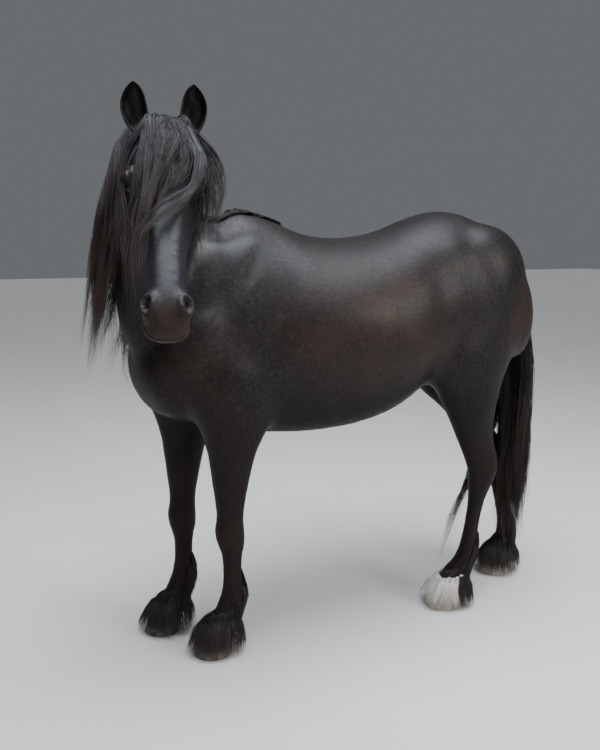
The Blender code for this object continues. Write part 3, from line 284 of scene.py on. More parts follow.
# Rounded forms on both sides of the head, in its own frame: centre, radii
HEAD_FORMS = (
    ((0.070, -0.140, 0.170), (0.030, 0.085, 0.100)),
    ((0.080, -0.026, 0.205), (0.028, 0.030, 0.042)),
    ((0.040, -0.040, 0.580), (0.026, 0.030, 0.038)),
    ((0.018, -0.122, 0.580), (0.030, 0.024, 0.040)),
    ((0.026, -0.100, 0.608), (0.034, 0.026, 0.036)),
)

# Fillings on both sides before the flesh is smoothed: centre, radii, turn about X in degrees
FILLINGS = (
    ((0.110, -0.020, 1.280), (0.085, 0.130, 0.250), -38),
    ((0.110, -0.110, 1.300), (0.085, 0.120, 0.190), -30),
    ((0.150, -0.130, 1.130), (0.090, 0.120, 0.170), -30),
    ((0.085, -0.215, 1.040), (0.100, 0.085, 0.120), 0),
    ((0.135, 1.000, 1.330), (0.135, 0.190, 0.200), 20),
    ((0.135, 1.120, 1.200), (0.115, 0.110, 0.210), 8),
    ((0.150, 0.900, 1.080), (0.110, 0.120, 0.170), -15),
)

# Muscles, bony points and hollows on both sides: centre, reach along X, Y, Z, turn about X in degrees, height
MUSCLES = (
    ((0.180, -0.180, 1.070), (0.080, 0.055, 0.060), 0, 0.012),
    ((0.200, 0.030, 1.040), (0.080, 0.085, 0.085), 25, 0.010),
    ((0.190, -0.060, 1.260), (0.100, 0.030, 0.150), -32, 0.008),
    ((0.190, 0.045, 1.300), (0.100, 0.040, 0.150), -32, 0.008),
    ((0.190, -0.005, 1.290), (0.100, 0.016, 0.150), -32, -0.006),
    ((0.200, 0.140, 1.190), (0.100, 0.030, 0.150), -20, -0.008),
    ((0.120, -0.100, 0.830), (0.080, 0.080, 0.060), 0, 0.004),
    ((0.240, 0.830, 1.440), (0.075, 0.060, 0.055), 0, 0.006),
    ((0.240, 0.740, 1.300), (0.080, 0.060, 0.110), 0, -0.008),
    ((0.230, 1.010, 1.260), (0.090, 0.070, 0.090), 0, 0.010),
    ((0.230, 0.860, 1.040), (0.080, 0.060, 0.070), -20, 0.012),
    ((0.180, 1.140, 1.100), (0.090, 0.030, 0.140), 5, -0.007),
    ((0.180, 0.970, 0.850), (0.070, 0.070, 0.110), -25, 0.008),
    ((0.330, 0.350, 1.250), (0.100, 0.200, 0.100), 0, 0.004),
)

# Each leg with its rows and the height of the cut below which it is a cannon
LEG_CUTS = (
    ("fore_left", FORELEG, KNEE_CUT),
    ("fore_right", FORELEG, KNEE_CUT),
    ("hind_left", HINDLEG, HOCK_CUT),
    ("hind_right", HINDLEG, HOCK_CUT),
)

# Thin ridges and veins on both sides of the head, in its own frame: points, height and half width
FACE_LINES = (
    (((0.082, -0.075, 0.225), (0.070, -0.078, 0.300), (0.058, -0.076, 0.370)), 0.0035, 0.008),
    (((0.060, -0.100, 0.330), (0.050, -0.070, 0.400), (0.046, -0.050, 0.480), (0.044, -0.060, 0.540)), 0.0016, 0.0035),
    (((0.050, -0.070, 0.400), (0.044, -0.030, 0.440), (0.030, -0.014, 0.500)), 0.0013, 0.003),
    (((0.040, -0.012, 0.300), (0.034, -0.012, 0.420), (0.030, -0.016, 0.520)), 0.0014, 0.007),
)


# How far the lids rise over the eyeball
LID_RISE = 0.0036

# The forelock in the head's frame. Each lock runs from x0 at its root through x1 and x2 to x3 at its tip.
# Columns: the four places across, how far down the face it reaches, how far back off the face its lower half lies
FORELOCK = (
    (-0.034, -0.066, -0.088, -0.090, 0.62, 0.040),
    (-0.016, -0.034, -0.056, -0.062, 0.58, 0.020),
    (0.000, -0.004, -0.034, -0.066, 0.40, 0.000),
    (0.014, 0.026, 0.004, -0.044, 0.38, 0.000),
    (-0.026, -0.050, -0.070, -0.074, 0.60, 0.030),
    (0.050, 0.126, 0.138, 0.118, 0.39, 0.050),
    (0.026, 0.052, 0.040, -0.020, 0.34, 0.000),
    (-0.008, -0.016, -0.052, -0.078, 0.46, 0.010),
    (0.034, 0.060, 0.068, 0.060, 0.25, 0.000),
    (0.042, 0.104, 0.118, 0.100, 0.41, 0.040),
    (0.020, 0.040, 0.030, 0.006, 0.29, 0.000),
    (-0.040, -0.082, -0.108, -0.110, 0.60, 0.050),
    (0.006, 0.012, -0.010, -0.040, 0.34, 0.000),
    (0.036, 0.082, 0.100, 0.092, 0.37, 0.025),
    (0.038, 0.080, 0.090, 0.090, 0.43, 0.055),
)

# The lock that curls over the brow: places across and down the face from the poll
CURL = (
    (0.030, 0.016), (0.048, 0.050), (0.070, 0.115), (0.086, 0.185), (0.078, 0.250),
    (0.050, 0.298), (0.006, 0.338), (-0.036, 0.374), (-0.066, 0.414), (-0.086, 0.444),
)

# The nostrils in the head's frame, as the skin shows them
NOSTRIL_PLACE = (0.046, -0.026, 0.582)
NOSTRIL_FACING = 35
# Lights: name, place, aim, size, power and colour; and the camera's place, its heading and its tilt down
LIGHTS = (
    ("sky", (0.6, -0.2, 4.6), (0.0, 0.0, 1.0), 60.0, 1.2, (0.90, 0.94, 1.0)),
    ("top", (0.6, -0.2, 4.6), (0.0, 0.0, 1.0), 4.0, 370, (0.86, 0.92, 1.0)),
    ("side", (3.6, 2.6, 2.8), (0.0, 0.2, 1.1), 2.2, 115, (1.0, 0.97, 0.92)),
    ("front", (2.6, -3.4, 2.2), (0.1, -0.3, 1.2), 3.0, 18, (1.0, 0.98, 0.96)),
)
CAMERA_PLACE = (2.617, -0.899, 1.46)
CAMERA_HEADING = 65.2
CAMERA_DOWN = 9.5


def spline_rows(rows, per_span):
    """Catmull-Rom rows through the given rows: every number runs smoothly, with per_span rows to each span."""
    rows = np.asarray(rows, float)
    padded = np.vstack([2 * rows[0] - rows[1], rows, 2 * rows[-1] - rows[-2]])
    t = np.linspace(0, len(rows) - 1, (len(rows) - 1) * per_span + 1)
    k = np.minimum(t.astype(int), len(rows) - 2)
    u = (t - k)[:, None]
    a, b, c, d = (padded[k + i] for i in range(4))
    return 0.5 * (2 * b + (c - a) * u + (2 * a - 5 * b + 4 * c - d) * u**2 + (3 * b - a - 3 * c + d) * u**3)


def unit(vectors):
    """The vectors at length 1."""
    return vectors / np.maximum(np.linalg.norm(vectors, axis=-1, keepdims=True), 1e-9)


def smooth_step(x, low, high):
    """0 below low, 1 above high, and 3t^2 - 2t^3 between them."""
    t = np.clip((x - low) / (high - low), 0, 1)
    return t * t * (3 - 2 * t)


def tube_faces(rows, sides):
    """The faces of a closed skin over rings of vertices, whose two ends fan out from two more vertices."""
    row, side = np.meshgrid(np.arange(rows - 1), np.arange(sides), indexing="ij")
    a = row * sides + side
    b = row * sides + (side + 1) % sides
    quads = np.stack([a, b, b + sides, a + sides], -1).reshape(-1, 4)
    k = np.arange(sides)
    head = np.stack([np.full(sides, rows * sides), (k + 1) % sides, k], 1)
    last = k + (rows - 1) * sides
    foot = np.stack([np.full(sides, rows * sides + 1), last, (k + 1) % sides + (rows - 1) * sides], 1)
    return [quads, head, foot]


def ring_mesh(points):
    """Vertices and faces of a closed skin over rings, points[row, side], its two ends fanned shut."""
    vertices = np.vstack([points.reshape(-1, 3), points[0].mean(0), points[-1].mean(0)])
    return vertices, tube_faces(*points.shape[:2])


def loft(centres, left, up, half, top, bottom, pinch_top=1.0, pinch_bottom=1.0, sides=28):
    """A closed tube: rings of half width `half` along `left`, reaching `top` and `bottom` along `up`.

    A ring point at angle t is half * |cos t|^pinch across and top or bottom * sin t up.
    """
    n = len(centres)
    t = np.arange(sides) / sides * 2 * np.pi
    c, s = np.cos(t), np.sin(t)
    pinch = np.where(s > 0, np.broadcast_to(pinch_top, n)[:, None], np.broadcast_to(pinch_bottom, n)[:, None])
    across = np.sign(c) * np.abs(c) ** pinch * np.broadcast_to(half, n)[:, None]
    rise = np.where(s > 0, np.broadcast_to(top, n)[:, None], np.broadcast_to(bottom, n)[:, None]) * s
    left, up = np.broadcast_to(left, (n, 3)), np.broadcast_to(up, (n, 3))
    return ring_mesh(centres[:, None, :] + across[..., None] * left[:, None, :] + rise[..., None] * up[:, None, :])


def ellipsoid(centre, radii, turn=0.0, rings=12, sides=20):
    """A ball with the given radii, turned about X by `turn` degrees."""
    lat = np.linspace(-np.pi / 2, np.pi / 2, rings + 2)[1:-1]
    lon = np.arange(sides) / sides * 2 * np.pi
    lat, lon = np.meshgrid(lat, lon, indexing="ij")
    grid = np.stack([np.cos(lat) * np.cos(lon), np.cos(lat) * np.sin(lon), np.sin(lat)], -1)
    a = math.radians(turn)
    spin = np.array([[1, 0, 0], [0, math.cos(a), -math.sin(a)], [0, math.sin(a), math.cos(a)]])
    return ring_mesh(np.asarray(centre) + (grid * radii) @ spin.T)


def placed(shape, matrix):
    """The shape's vertices carried by a matrix."""
    vertices, faces = shape
    m = np.array(matrix)
    return vertices @ m[:3, :3].T + m[:3, 3], faces


def leg_rows(table, foot):
    """A leg's smooth rows, leaned from the hip or shoulder so that the foot stands where STANCE puts it."""
    rows = spline_rows(table, 4)
    elbow, sole, out = STANCE[foot]
    side = math.copysign(1, out)
    raised = GROUND + rows[:, 0] * (SHANK_TOP - GROUND) / SHANK_TOP
    rows[:, 0] = np.where(rows[:, 0] < SHANK_TOP, raised, rows[:, 0])
    lean = np.clip((ELBOW_HEIGHT - rows[:, 0]) / (ELBOW_HEIGHT - FETLOCK_HEIGHT), 0, 1)
    rows[:, 1] = side * rows[:, 1] + lean * (out - side * FOOT_OUT)
    rows[:, 2:4] += (elbow + lean * (sole - elbow))[:, None]
    return rows


def neck_frame():
    """The neck's smooth rows: centres, and its left and crest directions at each."""
    rows = spline_rows(NECK, 5)
    centres = rows[:, :3]
    along = unit(np.gradient(centres, axis=0))
    crest = unit(np.array([0, 0, 1.0]) - along * along[:, 2:3])
    return rows, centres, np.cross(crest, along), crest


def head_matrix():
    """From the head's own frame (left, off the face, down the face) to the horse's."""
    heading, slope = math.radians(FACE_HEADING), math.radians(FACE_SLOPE)
    ahead = Vector((math.cos(heading), math.sin(heading), 0))
    down = ahead * math.sin(slope) - Vector((0, 0, 1)) * math.cos(slope)
    off = ahead * math.cos(slope) + Vector((0, 0, 1)) * math.sin(slope)
    side = Vector((-math.sin(heading), math.cos(heading), 0))
    turn = Matrix((side, off, down)).transposed().to_4x4()
    return Matrix.Translation(POLL) @ turn @ Matrix.Rotation(math.radians(HEAD_ROLL), 4, "Y")


HEAD = head_matrix()
HEAD_TURN = np.array(HEAD)[:3, :3]
LEGS = {foot: leg_rows(table, foot) for foot, table, _ in LEG_CUTS}
NECK_ROWS, NECK_CENTRES, NECK_LEFT, NECK_CREST = neck_frame()

# What carries the working frame to the solids': the eye's middle here and there
eye_low, eye_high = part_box("eye_left")
SHIFT = np.array((eye_low + eye_high) / 2) - np.array(HEAD @ Vector(EYE))


def on_head(points):
    """Points in the head's own frame: left, off the face, down the face from the poll."""
    return (points - POLL) @ HEAD_TURN


def flesh_forms():
    """Every lofted form and filling of the flesh: trunk, neck, skull, face forms, legs and muscles."""
    y, wide, half, top, bottom, pinch = spline_rows(TRUNK, 4).T
    forms = [loft(np.stack([0 * y, y, wide], 1), (1, 0, 0), (0, 0, 1), half, top - wide, wide - bottom, pinch, 0.92, 36)]
    rows = NECK_ROWS
    forms.append(loft(NECK_CENTRES, NECK_LEFT, NECK_CREST, rows[:, 3], rows[:, 4], rows[:, 5], 1.25, 1.0, 28))
    s, half, face, jaw, wide, pinch = spline_rows(SKULL, 4).T
    skull = loft(np.stack([0 * s, wide, s], 1), (1, 0, 0), (0, 1, 0), half, face - wide, wide - jaw, 0.8, pinch, 28)
    forms.append(placed(skull, HEAD))
    forms += [placed(ellipsoid((x * side, y, z), r), HEAD) for (x, y, z), r in HEAD_FORMS for side in (1, -1)]
    for z, x, front, back, half in (rows.T for rows in LEGS.values()):
        centres, reach = np.stack([x, (front + back) / 2, z], 1), (back - front) / 2
        forms.append(loft(centres, (1, 0, 0), (0, 1, 0), half, reach, reach, 0.95, 0.95, 24))
    return forms + [ellipsoid((x * side, y, z), r, turn) for (x, y, z), r, turn in FILLINGS for side in (1, -1)]


def mesh_of(name, points, blocks, chart=None, marks=None):
    """A smooth-shaded object from an array of points and arrays of faces, with a map and marks if given.

    chart holds a place for every corner, in the order of the faces, and marks hold a number for every point.
    """
    mesh = bpy.data.meshes.new(name)
    sizes = np.concatenate([np.full(len(block), block.shape[1]) for block in blocks])
    corners = np.concatenate([block.ravel() for block in blocks])
    mesh.vertices.add(len(points))
    mesh.vertices.foreach_set("co", np.ascontiguousarray(points, np.float32).ravel())
    mesh.loops.add(len(corners))
    mesh.loops.foreach_set("vertex_index", corners.astype(np.int32))
    mesh.polygons.add(len(sizes))
    mesh.polygons.foreach_set("loop_start", np.concatenate([[0], np.cumsum(sizes)[:-1]]).astype(np.int32))
    mesh.polygons.foreach_set("use_smooth", np.ones(len(sizes), bool))
    mesh.update(calc_edges=True)
    for key, numbers in (marks or {}).items():
        layer = mesh.attributes.new(key, "FLOAT", "POINT")
        layer.data.foreach_set("value", np.ascontiguousarray(numbers, np.float32).ravel())
    if chart is not None:
        layer = mesh.uv_layers.new(name="OFBake")
        layer.data.foreach_set("uv", np.ascontiguousarray(chart, np.float32).ravel())
    obj = bpy.data.objects.new(name, mesh)
    bpy.context.scene.collection.objects.link(obj)
    return obj


def joined(shapes):
    """Several shapes' vertices and faces as one shape's."""
    vertices, blocks, start = [], [], 0
    for points, faces in shapes:
        vertices.append(points)
        blocks += [block + start for block in faces]
        start += len(points)
    return np.vstack(vertices), blocks


def applied(obj):
    """The object with its modifiers applied to its mesh."""
    graph = bpy.context.evaluated_depsgraph_get()
    mesh = bpy.data.meshes.new_from_object(obj.evaluated_get(graph))
    obj.modifiers.clear()
    old = obj.data
    obj.data = mesh
    bpy.data.meshes.remove(old)
    return obj


def points_of(mesh):
    """The mesh's vertices as an array."""
    points = np.empty(len(mesh.vertices) * 3)
    mesh.vertices.foreach_get("co", points)
    return points.reshape(-1, 3)


def normals_of(mesh):
    """The mesh's vertex normals as an array."""
    normals = np.empty(len(mesh.vertices) * 3)
    mesh.vertex_normals.foreach_get("vector", normals)
    return normals.reshape(-1, 3)


def moved(mesh, points):
    """Puts the mesh's vertices at these points."""
    mesh.vertices.foreach_set("co", np.ascontiguousarray(points).ravel())
    mesh.update()


def smoothed(mesh, rounds, weight, steps=(0.6, -0.45)):
    """Smooths the mesh: each round moves a vertex towards its neighbours' mean, then part way out again."""
    points = points_of(mesh)
    ends = np.empty(len(mesh.edges) * 2, int)
    mesh.edges.foreach_get("vertices", ends)
    ends = ends.reshape(-1, 2)
    counts = np.bincount(ends.ravel(), minlength=len(points))[:, None]
    share = weight(points)[:, None]
    for _ in range(rounds):
        for step in steps:
            mean = np.empty_like(points)
            for axis in range(3):
                mean[:, axis] = np.bincount(ends[:, 0], points[ends[:, 1], axis], len(points))
                mean[:, axis] += np.bincount(ends[:, 1], points[ends[:, 0], axis], len(points))
            points += step * share * (mean / counts - points)
    moved(mesh, points)


def filled(mesh, rounds, weight):
    """Fills hollows: a vertex rises along its normal to where repeated averaging puts it, and never sinks."""
    before, out = points_of(mesh), normals_of(mesh)
    smoothed(mesh, rounds, weight, (0.5,))
    rise = np.einsum("ij,ij->i", points_of(mesh) - before, out).clip(0, None)
    moved(mesh, before + out * rise[:, None])
    smoothed(mesh, 6, weight)


def bump(offsets, reach, height):
    """A rounded rise: height * exp(-r^2), r the offset counted in reaches."""
    return height * np.exp(-sum((offset / size) ** 2 for offset, size in zip(offsets, reach)))


def swollen(mesh):
    """Raises the muscles and the head's relief: each vertex moves along its normal by their sum."""
    points = points_of(mesh)
    rise = np.zeros(len(points))
    for centre, reach, turn, height in MUSCLES:
        for side in (1, -1):
            x, y, z = (points - np.asarray(centre) * (side, 1, 1)).T
            a = math.radians(turn)
            rise += bump((x, y * math.cos(a) + z * math.sin(a), z * math.cos(a) - y * math.sin(a)), reach, height)
    places = on_head(points)
    for centre, reach, height in RELIEF:
        for side in (1, -1):
            share = 1 if centre[0] else 0.5
            rise += bump((places - np.asarray(centre) * (side, 1, 1)).T, reach, share * height)
    moved(mesh, points + normals_of(mesh) * rise[:, None])


def smoothing(points):
    """How strongly each point is smoothed: fully on trunk and neck, little on the head and lower legs."""
    down = on_head(points)[:, 2]
    head = np.clip((down + 0.02) / 0.10, 0, 1) * np.clip((points[:, 0] - 0.30) / 0.10, 0, 1)
    low = np.clip((points[:, 2] - 0.62) / 0.25, 0, 1)
    return (0.12 + 0.88 * low) * (1 - 0.88 * head)


def refined(mesh, chosen):
    """Halves every edge of the faces whose middles are chosen, and rounds the new surface off."""
    work = bmesh.new()
    work.from_mesh(mesh)
    middles = np.array([face.calc_center_median() for face in work.faces])
    picked = chosen(middles)
    edges = {edge for face, pick in zip(work.faces, picked) if pick for edge in face.edges}
    bmesh.ops.subdivide_edges(work, edges=sorted(edges, key=lambda edge: edge.index), cuts=1, use_grid_fill=True)
    work.to_mesh(mesh)
    work.free()
    smoothed(mesh, 4, lambda points: 0.8 * chosen(points))


def by_head(reach):
    """A choice of the points that lie on the head, past this far down from the poll."""
    return lambda points: (on_head(points)[:, 2] > reach) & (points[:, 0] > 0.33) & (points[:, 2] > 1.05)


def by_withers(points):
    """How near the points lie to the crook between the withers and the turned neck."""
    return np.exp(-((np.linalg.norm(points - np.array((0.09, -0.03, 1.47)), axis=1) / 0.23) ** 4))


def by_face(points):
    """The points round the eyes, the nostrils and the mouth, which need the finest mesh."""
    x, y, z = on_head(points).T
    eye = np.hypot(z - EYE[2], y - EYE[1]) < 0.046
    muzzle = (z > 0.548) & (np.abs(x) < 0.2)
    return by_head(0.0)(points) & ((eye & (np.abs(x) > 0.045)) | muzzle)


def by_openings(points):
    """The points close round the eyes and the nostrils."""
    x, y, z = on_head(points).T
    eye = (np.hypot(z - EYE[2], y - EYE[1]) < 0.036) & (np.abs(x) > 0.045)
    nostril = (np.hypot(z - NOSTRIL_PLACE[2], y - NOSTRIL_PLACE[1]) < 0.038) & (np.abs(x) > 0.010)
    return by_head(0.0)(points) & (eye | nostril)


def lids(places):
    """Shapes the lids in the head's frame: a shell round each eyeball with an almond left open.

    Each point moves along the line from the eyeball's middle. Its angle from the outward axis, unrolled over the
    ball, gives rho, which is 1 on the almond's edge. Outside it the skin lies at the ball's radius plus the lid's
    thickness and runs into the flesh around by a smooth maximum. Inside it the skin sinks behind the ball.
    """
    wide, tall, slant = (EYE_RADIUS * math.asin(EYE_OPEN[0] / EYE_RADIUS), EYE_RADIUS * math.asin(EYE_OPEN[1] / EYE_RADIUS), EYE_OPEN[2])
    for side in (1, -1):
        middle = np.array(EYE) * (side, 1, 1)
        away = places - middle
        far = np.maximum(np.linalg.norm(away, axis=1), 1e-5)
        way = away / far[:, None]
        outward = np.clip(way[:, 0] * side, -1, 1)
        angle = np.arccos(outward)
        y, z = (EYE_RADIUS * angle * way[:, k] / np.maximum(np.sin(angle), 1e-4) for k in (1, 2))
        rho = np.hypot(z / wide, (y - slant * z / wide) / tall)
        thick = LID_RISE * (1 - np.exp(-(((rho - 1) / 0.38) ** 2)))
        fold = 0.0013 * np.exp(-(((rho - 1.85) / 0.16) ** 2)) * smooth_step(y, 0.0, 0.012)
        fold += 0.0006 * np.exp(-(((rho - 1.75) / 0.14) ** 2)) * smooth_step(-y, 0.0, 0.012)
        shell = EYE_RADIUS + 0.0008 + thick - fold
        blend = 0.5 * (far + shell + np.sqrt((far - shell) ** 2 + 0.003**2))
        pull = 1 - smooth_step(rho, 1.3, 2.0)
        new = np.where(rho < 1, EYE_RADIUS - 0.0045, pull * shell + (1 - pull) * blend)
        held = smooth_step(outward, -0.05, 0.25) * (1 - smooth_step(far, 0.040, 0.055))
        places = middle + way * (far + (new - far) * held)[:, None]
    return places


def muzzle_relief(places):
    """How far the skin rises round the nostrils, over the lips and down their line, in the head's frame."""
    rise = np.zeros(len(places))
    half, depth, corner, reach = MOUTH
    turn = np.linspace(-1, 1, 61) * np.pi / 2
    line = np.stack([half * np.sin(turn), depth + 0.006 * np.abs(turn / np.pi * 2) ** 3, corner + reach * np.cos(turn)], 1)
    line[:, :2] *= 0.86
    low = places[:, 2] > 0.52
    far = np.linalg.norm(places[low, None, 1:] - line[None, :, 1:], axis=2)
    gap = far.min(axis=1)
    lip = 0.0030 * np.exp(-(((gap - 0.010) / 0.006) ** 2)) - 0.0050 * np.exp(-((gap / 0.0030) ** 2))
    rise[low] += lip * smooth_step(places[low, 2], 0.545, 0.57)
    for side in (1, -1):
        x, y, z = (places - np.array(NOSTRIL_PLACE) * (side, 1, 1)).T
        a = math.radians(NOSTRIL_FACING * side)
        u, v = x * math.cos(a) + y * math.sin(a), y * math.cos(a) - x * math.sin(a)
        outer = smooth_step(u * side, -0.020, -0.004)
        rho = np.hypot(v / 0.0150, (z + 0.35 * v) / 0.0235)
        hollow = -0.022 * (1 - smooth_step(rho, 0.45, 1.05))
        rim = 0.0024 * np.exp(-(((rho - 1.32) / 0.26) ** 2))
        rise += outer * (hollow + rim)
    return rise


def vein(places, nodes, height, wide):
    """A vein or ridge: height * exp(-(d / wide)^2), d the distance to a broken line through the nodes."""
    nearest = np.full(len(places), 1.0)
    for start, end in zip(np.array(nodes[:-1]), np.array(nodes[1:])):
        along = end - start
        t = np.clip((places - start) @ along / (along @ along), 0, 1)
        nearest = np.minimum(nearest, np.linalg.norm(places - start - t[:, None] * along, axis=1))
    return height * np.exp(-((nearest / wide) ** 2))


def skin():
    """The whole skin as one mesh: the forms fused and smoothed, then refined and detailed on the head."""
    points, faces = joined(flesh_forms())
    obj = mesh_of("coat_skin", points, faces)
    remesh = obj.modifiers.new("Remesh", "REMESH")
    remesh.mode = "VOXEL"
    remesh.voxel_size = CLAY_VOXEL
    mesh = applied(obj).data
    smoothed(mesh, 60, smoothing)
    swollen(mesh)
    filled(mesh, 400, by_withers)
    refined(mesh, lambda middles: by_head(-0.02)(middles) | (abs(middles[:, 2] - 0.29) < 0.13))
    refined(mesh, by_face)
    refined(mesh, by_openings)
    points = points_of(mesh)
    rise = np.zeros(len(points)) - COAT_DEPTH
    near = by_head(0.0)(points)
    places = on_head(points[near])
    relief = muzzle_relief(places)
    for side in (1, -1):
        for nodes, height, wide in FACE_LINES:
            relief += vein(places, np.array(nodes) * (side, 1, 1), height, wide)
    rise[near] += relief
    for foot, rows in LEGS.items():
        rise += tendons(points, rows)
    points += normals_of(mesh) * rise[:, None]
    near = by_face(points)
    points[near] = lids(on_head(points[near])) @ HEAD_TURN.T + POLL
    moved(mesh, points)
    smoothed(mesh, 1, lambda points: 0.7 * (by_head(0.54)(points)))
    return obj


def tendons(points, rows):
    """The groove between a leg's bone and the tendons behind it, down the cannon on both sides."""
    x, front, back, half = (np.interp(points[:, 2], rows[::-1, 0], rows[::-1, k]) for k in (1, 2, 3, 4))
    place = (points[:, 1] - front) / (back - front)
    near = (np.abs(points[:, 0] - x) < 1.6 * half) & (np.abs(place - 0.5) < 0.9)
    band = smooth_step(points[:, 2], 0.20, 0.26) * (1 - smooth_step(points[:, 2], 0.36, 0.44))
    return -0.0035 * near * band * np.exp(-(((place - 0.56) / 0.10) ** 2))


def ear_cup(side):
    """An ear as a cup open to the front: an arc of the leaf's radius at each height, with an inner wall.

    The radius follows the leaf's profile, the opening widens upwards, and the rim rolls in a little.
    """
    h = np.linspace(0, 1, 40)
    leaf = np.interp(h, (0, 0.12, 0.3, 0.5, 0.7, 0.86, 0.95, 1), (0.74, 0.92, 1.05, 1.09, 1.00, 0.70, 0.40, 0.05))
    kernel = np.ones(5) / 5
    leaf[2:-2] = np.convolve(leaf, kernel, "valid")
    outer = EAR_WIDTH / 2 * leaf - 0.0008
    sway = 0.010 * np.sin(np.pi * h) - 0.004 * h
    opening = np.interp(h, (0, 0.15, 0.5, 1), (0.45, 0.95, 1.30, 1.35))
    wall = EAR_WALL * np.interp(h, (0, 0.5, 1), (1.0, 0.6, 0.4))
    inner = np.clip(outer - wall, 0.25 * outer, None) * np.clip((h - 0.02) / 0.14, 0.15, 1)
    turn = np.linspace(-1, 1, 25)
    angle = np.pi / 2 + (np.pi - opening[:, None]) * turn
    walls = []
    for radius, direction in ((outer, 1), (inner, -1)):
        across = radius[:, None] * np.cos(angle)[:, ::direction] + side * sway[:, None]
        depth = -radius[:, None] * np.sin(angle)[:, ::direction] * EAR_DEPTH
        walls.append(np.stack([across, depth, 0 * across + h[:, None] * EAR_LENGTH - 0.006], -1))
    return placed(ring_mesh(np.concatenate(walls, 1)), ear_matrix(side))


def ear_matrix(side):
    """From an ear's frame (across, forward, up) to the horse's: it stands beside the poll, cup to the front."""
    x, y, z = EAR_ROOT
    heading = math.radians(FACE_HEADING)
    ahead = Vector((math.cos(heading), math.sin(heading), 0))
    left = Vector((-math.sin(heading), math.cos(heading), 0))
    up = (Vector((0, 0, 1)) + left * (EAR_SPREAD * side) + ahead * EAR_FORWARD).normalized()
    front = (ahead - up * ahead.dot(up)).normalized()
    turn = Matrix((up.cross(front), front, up)).transposed().to_4x4()
    return Matrix.Translation(HEAD @ Vector((x * side, y, z))) @ turn


def eyeball(side):
    """An eyeball: a sphere about the axis that points outwards, with the clear front bulging a little.

    A point at angle a from the axis lies at radius * (1 + 0.035 * exp(-(a / 0.45)^2)). The mark `ring` holds a.
    """
    a = np.linspace(0.0, np.pi, 40)[1:-1, None]
    b = np.linspace(0, 2 * np.pi, 48, endpoint=False)[None, :]
    radius = (EYE_RADIUS - 0.0006) * (1 + 0.035 * np.exp(-((a / 0.45) ** 2)))
    grid = np.stack([radius * np.cos(a) + 0 * b, radius * np.sin(a) * np.cos(b), radius * np.sin(a) * np.sin(b)], -1)
    vertices, faces = ring_mesh(grid * (side, 1, 1) + np.array(EYE) * (side, 1, 1))
    slot = np.sin(a) * np.hypot(np.cos(b) / 0.55, np.sin(b))
    ring = np.concatenate([(np.sin(a) + 0 * b).ravel(), [0, 0]])
    ring[-1] = 1.0
    ring[: len(slot.ravel())] = np.where((np.cos(a) + 0 * b).ravel() > 0, slot.ravel(), 2.0)
    vertices, _ = placed((vertices, None), HEAD)
    return vertices, [block[:, ::-1] if side > 0 else block for block in faces], ring


def hoof(foot):
    """A hoof: rounded rings sloping forward from the coronet to a flat sole, with growth rings in the wall."""
    _, x, front, back, _ = LEGS[foot][-1]
    t = np.linspace(0, 1, 34)[:, None]
    a = np.linspace(0, 2 * np.pi, 72, endpoint=False)
    rings = 0.0007 * np.sin(30 * t**0.9 + 0.6 * np.sin(a)) + 0.0004 * np.sin(71 * t + 2.0)
    reach = CORONET_RADIUS - 0.0012 + SOLE_SPREAD * t + rings * np.sin(np.pi * np.clip(t, 0, 1))
    heel = np.where(np.sin(a) < 0, 1.0, 0.92)
    across = x + (reach - 0.002) * np.cos(a)
    along = (front + back) / 2 + HOOF_BACK - HOOF_SLOPE * t + reach * heel * np.sin(a)
    height = GROUND + (HOOF_HEIGHT - TOE_RISE * np.sin(a) * (1 - t)) * (1 - t)
    return ring_mesh(np.stack(np.broadcast_arrays(across, along, height), -1))


def tree_of(obj):
    """A search tree over the object's surface."""
    mesh = obj.data
    return BVHTree.FromPolygons([vertex.co.copy() for vertex in mesh.vertices], [list(face.vertices) for face in mesh.polygons])


def laid_over(path, tree, margins):
    """The path with each point after the root moved out until it stands its margin clear of the surface."""
    laid = [path[0]]
    for point, margin in zip(path[1:], margins[1:]):
        near, normal, _, _ = tree.find_nearest(Vector(point))
        height = (Vector(point) - near).dot(normal)
        laid.append(np.array(near + normal * margin) if height < margin else point)
    return np.array(laid)


def waved(path, direction, rng, size, turns):
    """The path swayed along a direction by size * sin(turns * s + phase), growing from nothing at the root."""
    s = np.linspace(0, 1, len(path))
    size, turns, phase = rng.uniform(*size), rng.uniform(*turns), rng.uniform(0, 2 * np.pi)
    sway = size * np.sin(2 * np.pi * turns * s + phase) * np.clip(3 * s, 0, 1)
    return path + sway[:, None] * np.asarray(direction)


def along_neck(t, numbers):
    """The row of numbers at a share t of the neck's length."""
    place = t * (len(numbers) - 1)
    return np.array([np.interp(place, np.arange(len(numbers)), column) for column in numbers.T])


def on_leg(rows, height, out, extra):
    """A point round the leg at a height, in the direction `out`, this far outside its surface."""
    x, front, back, half = (np.interp(height, rows[:, 0], rows[:, k]) for k in (1, 2, 3, 4))
    deep = (back - front) / 2 + extra
    return np.array((x + out[0] * (half + extra), (front + back) / 2 + out[1] * deep, height))


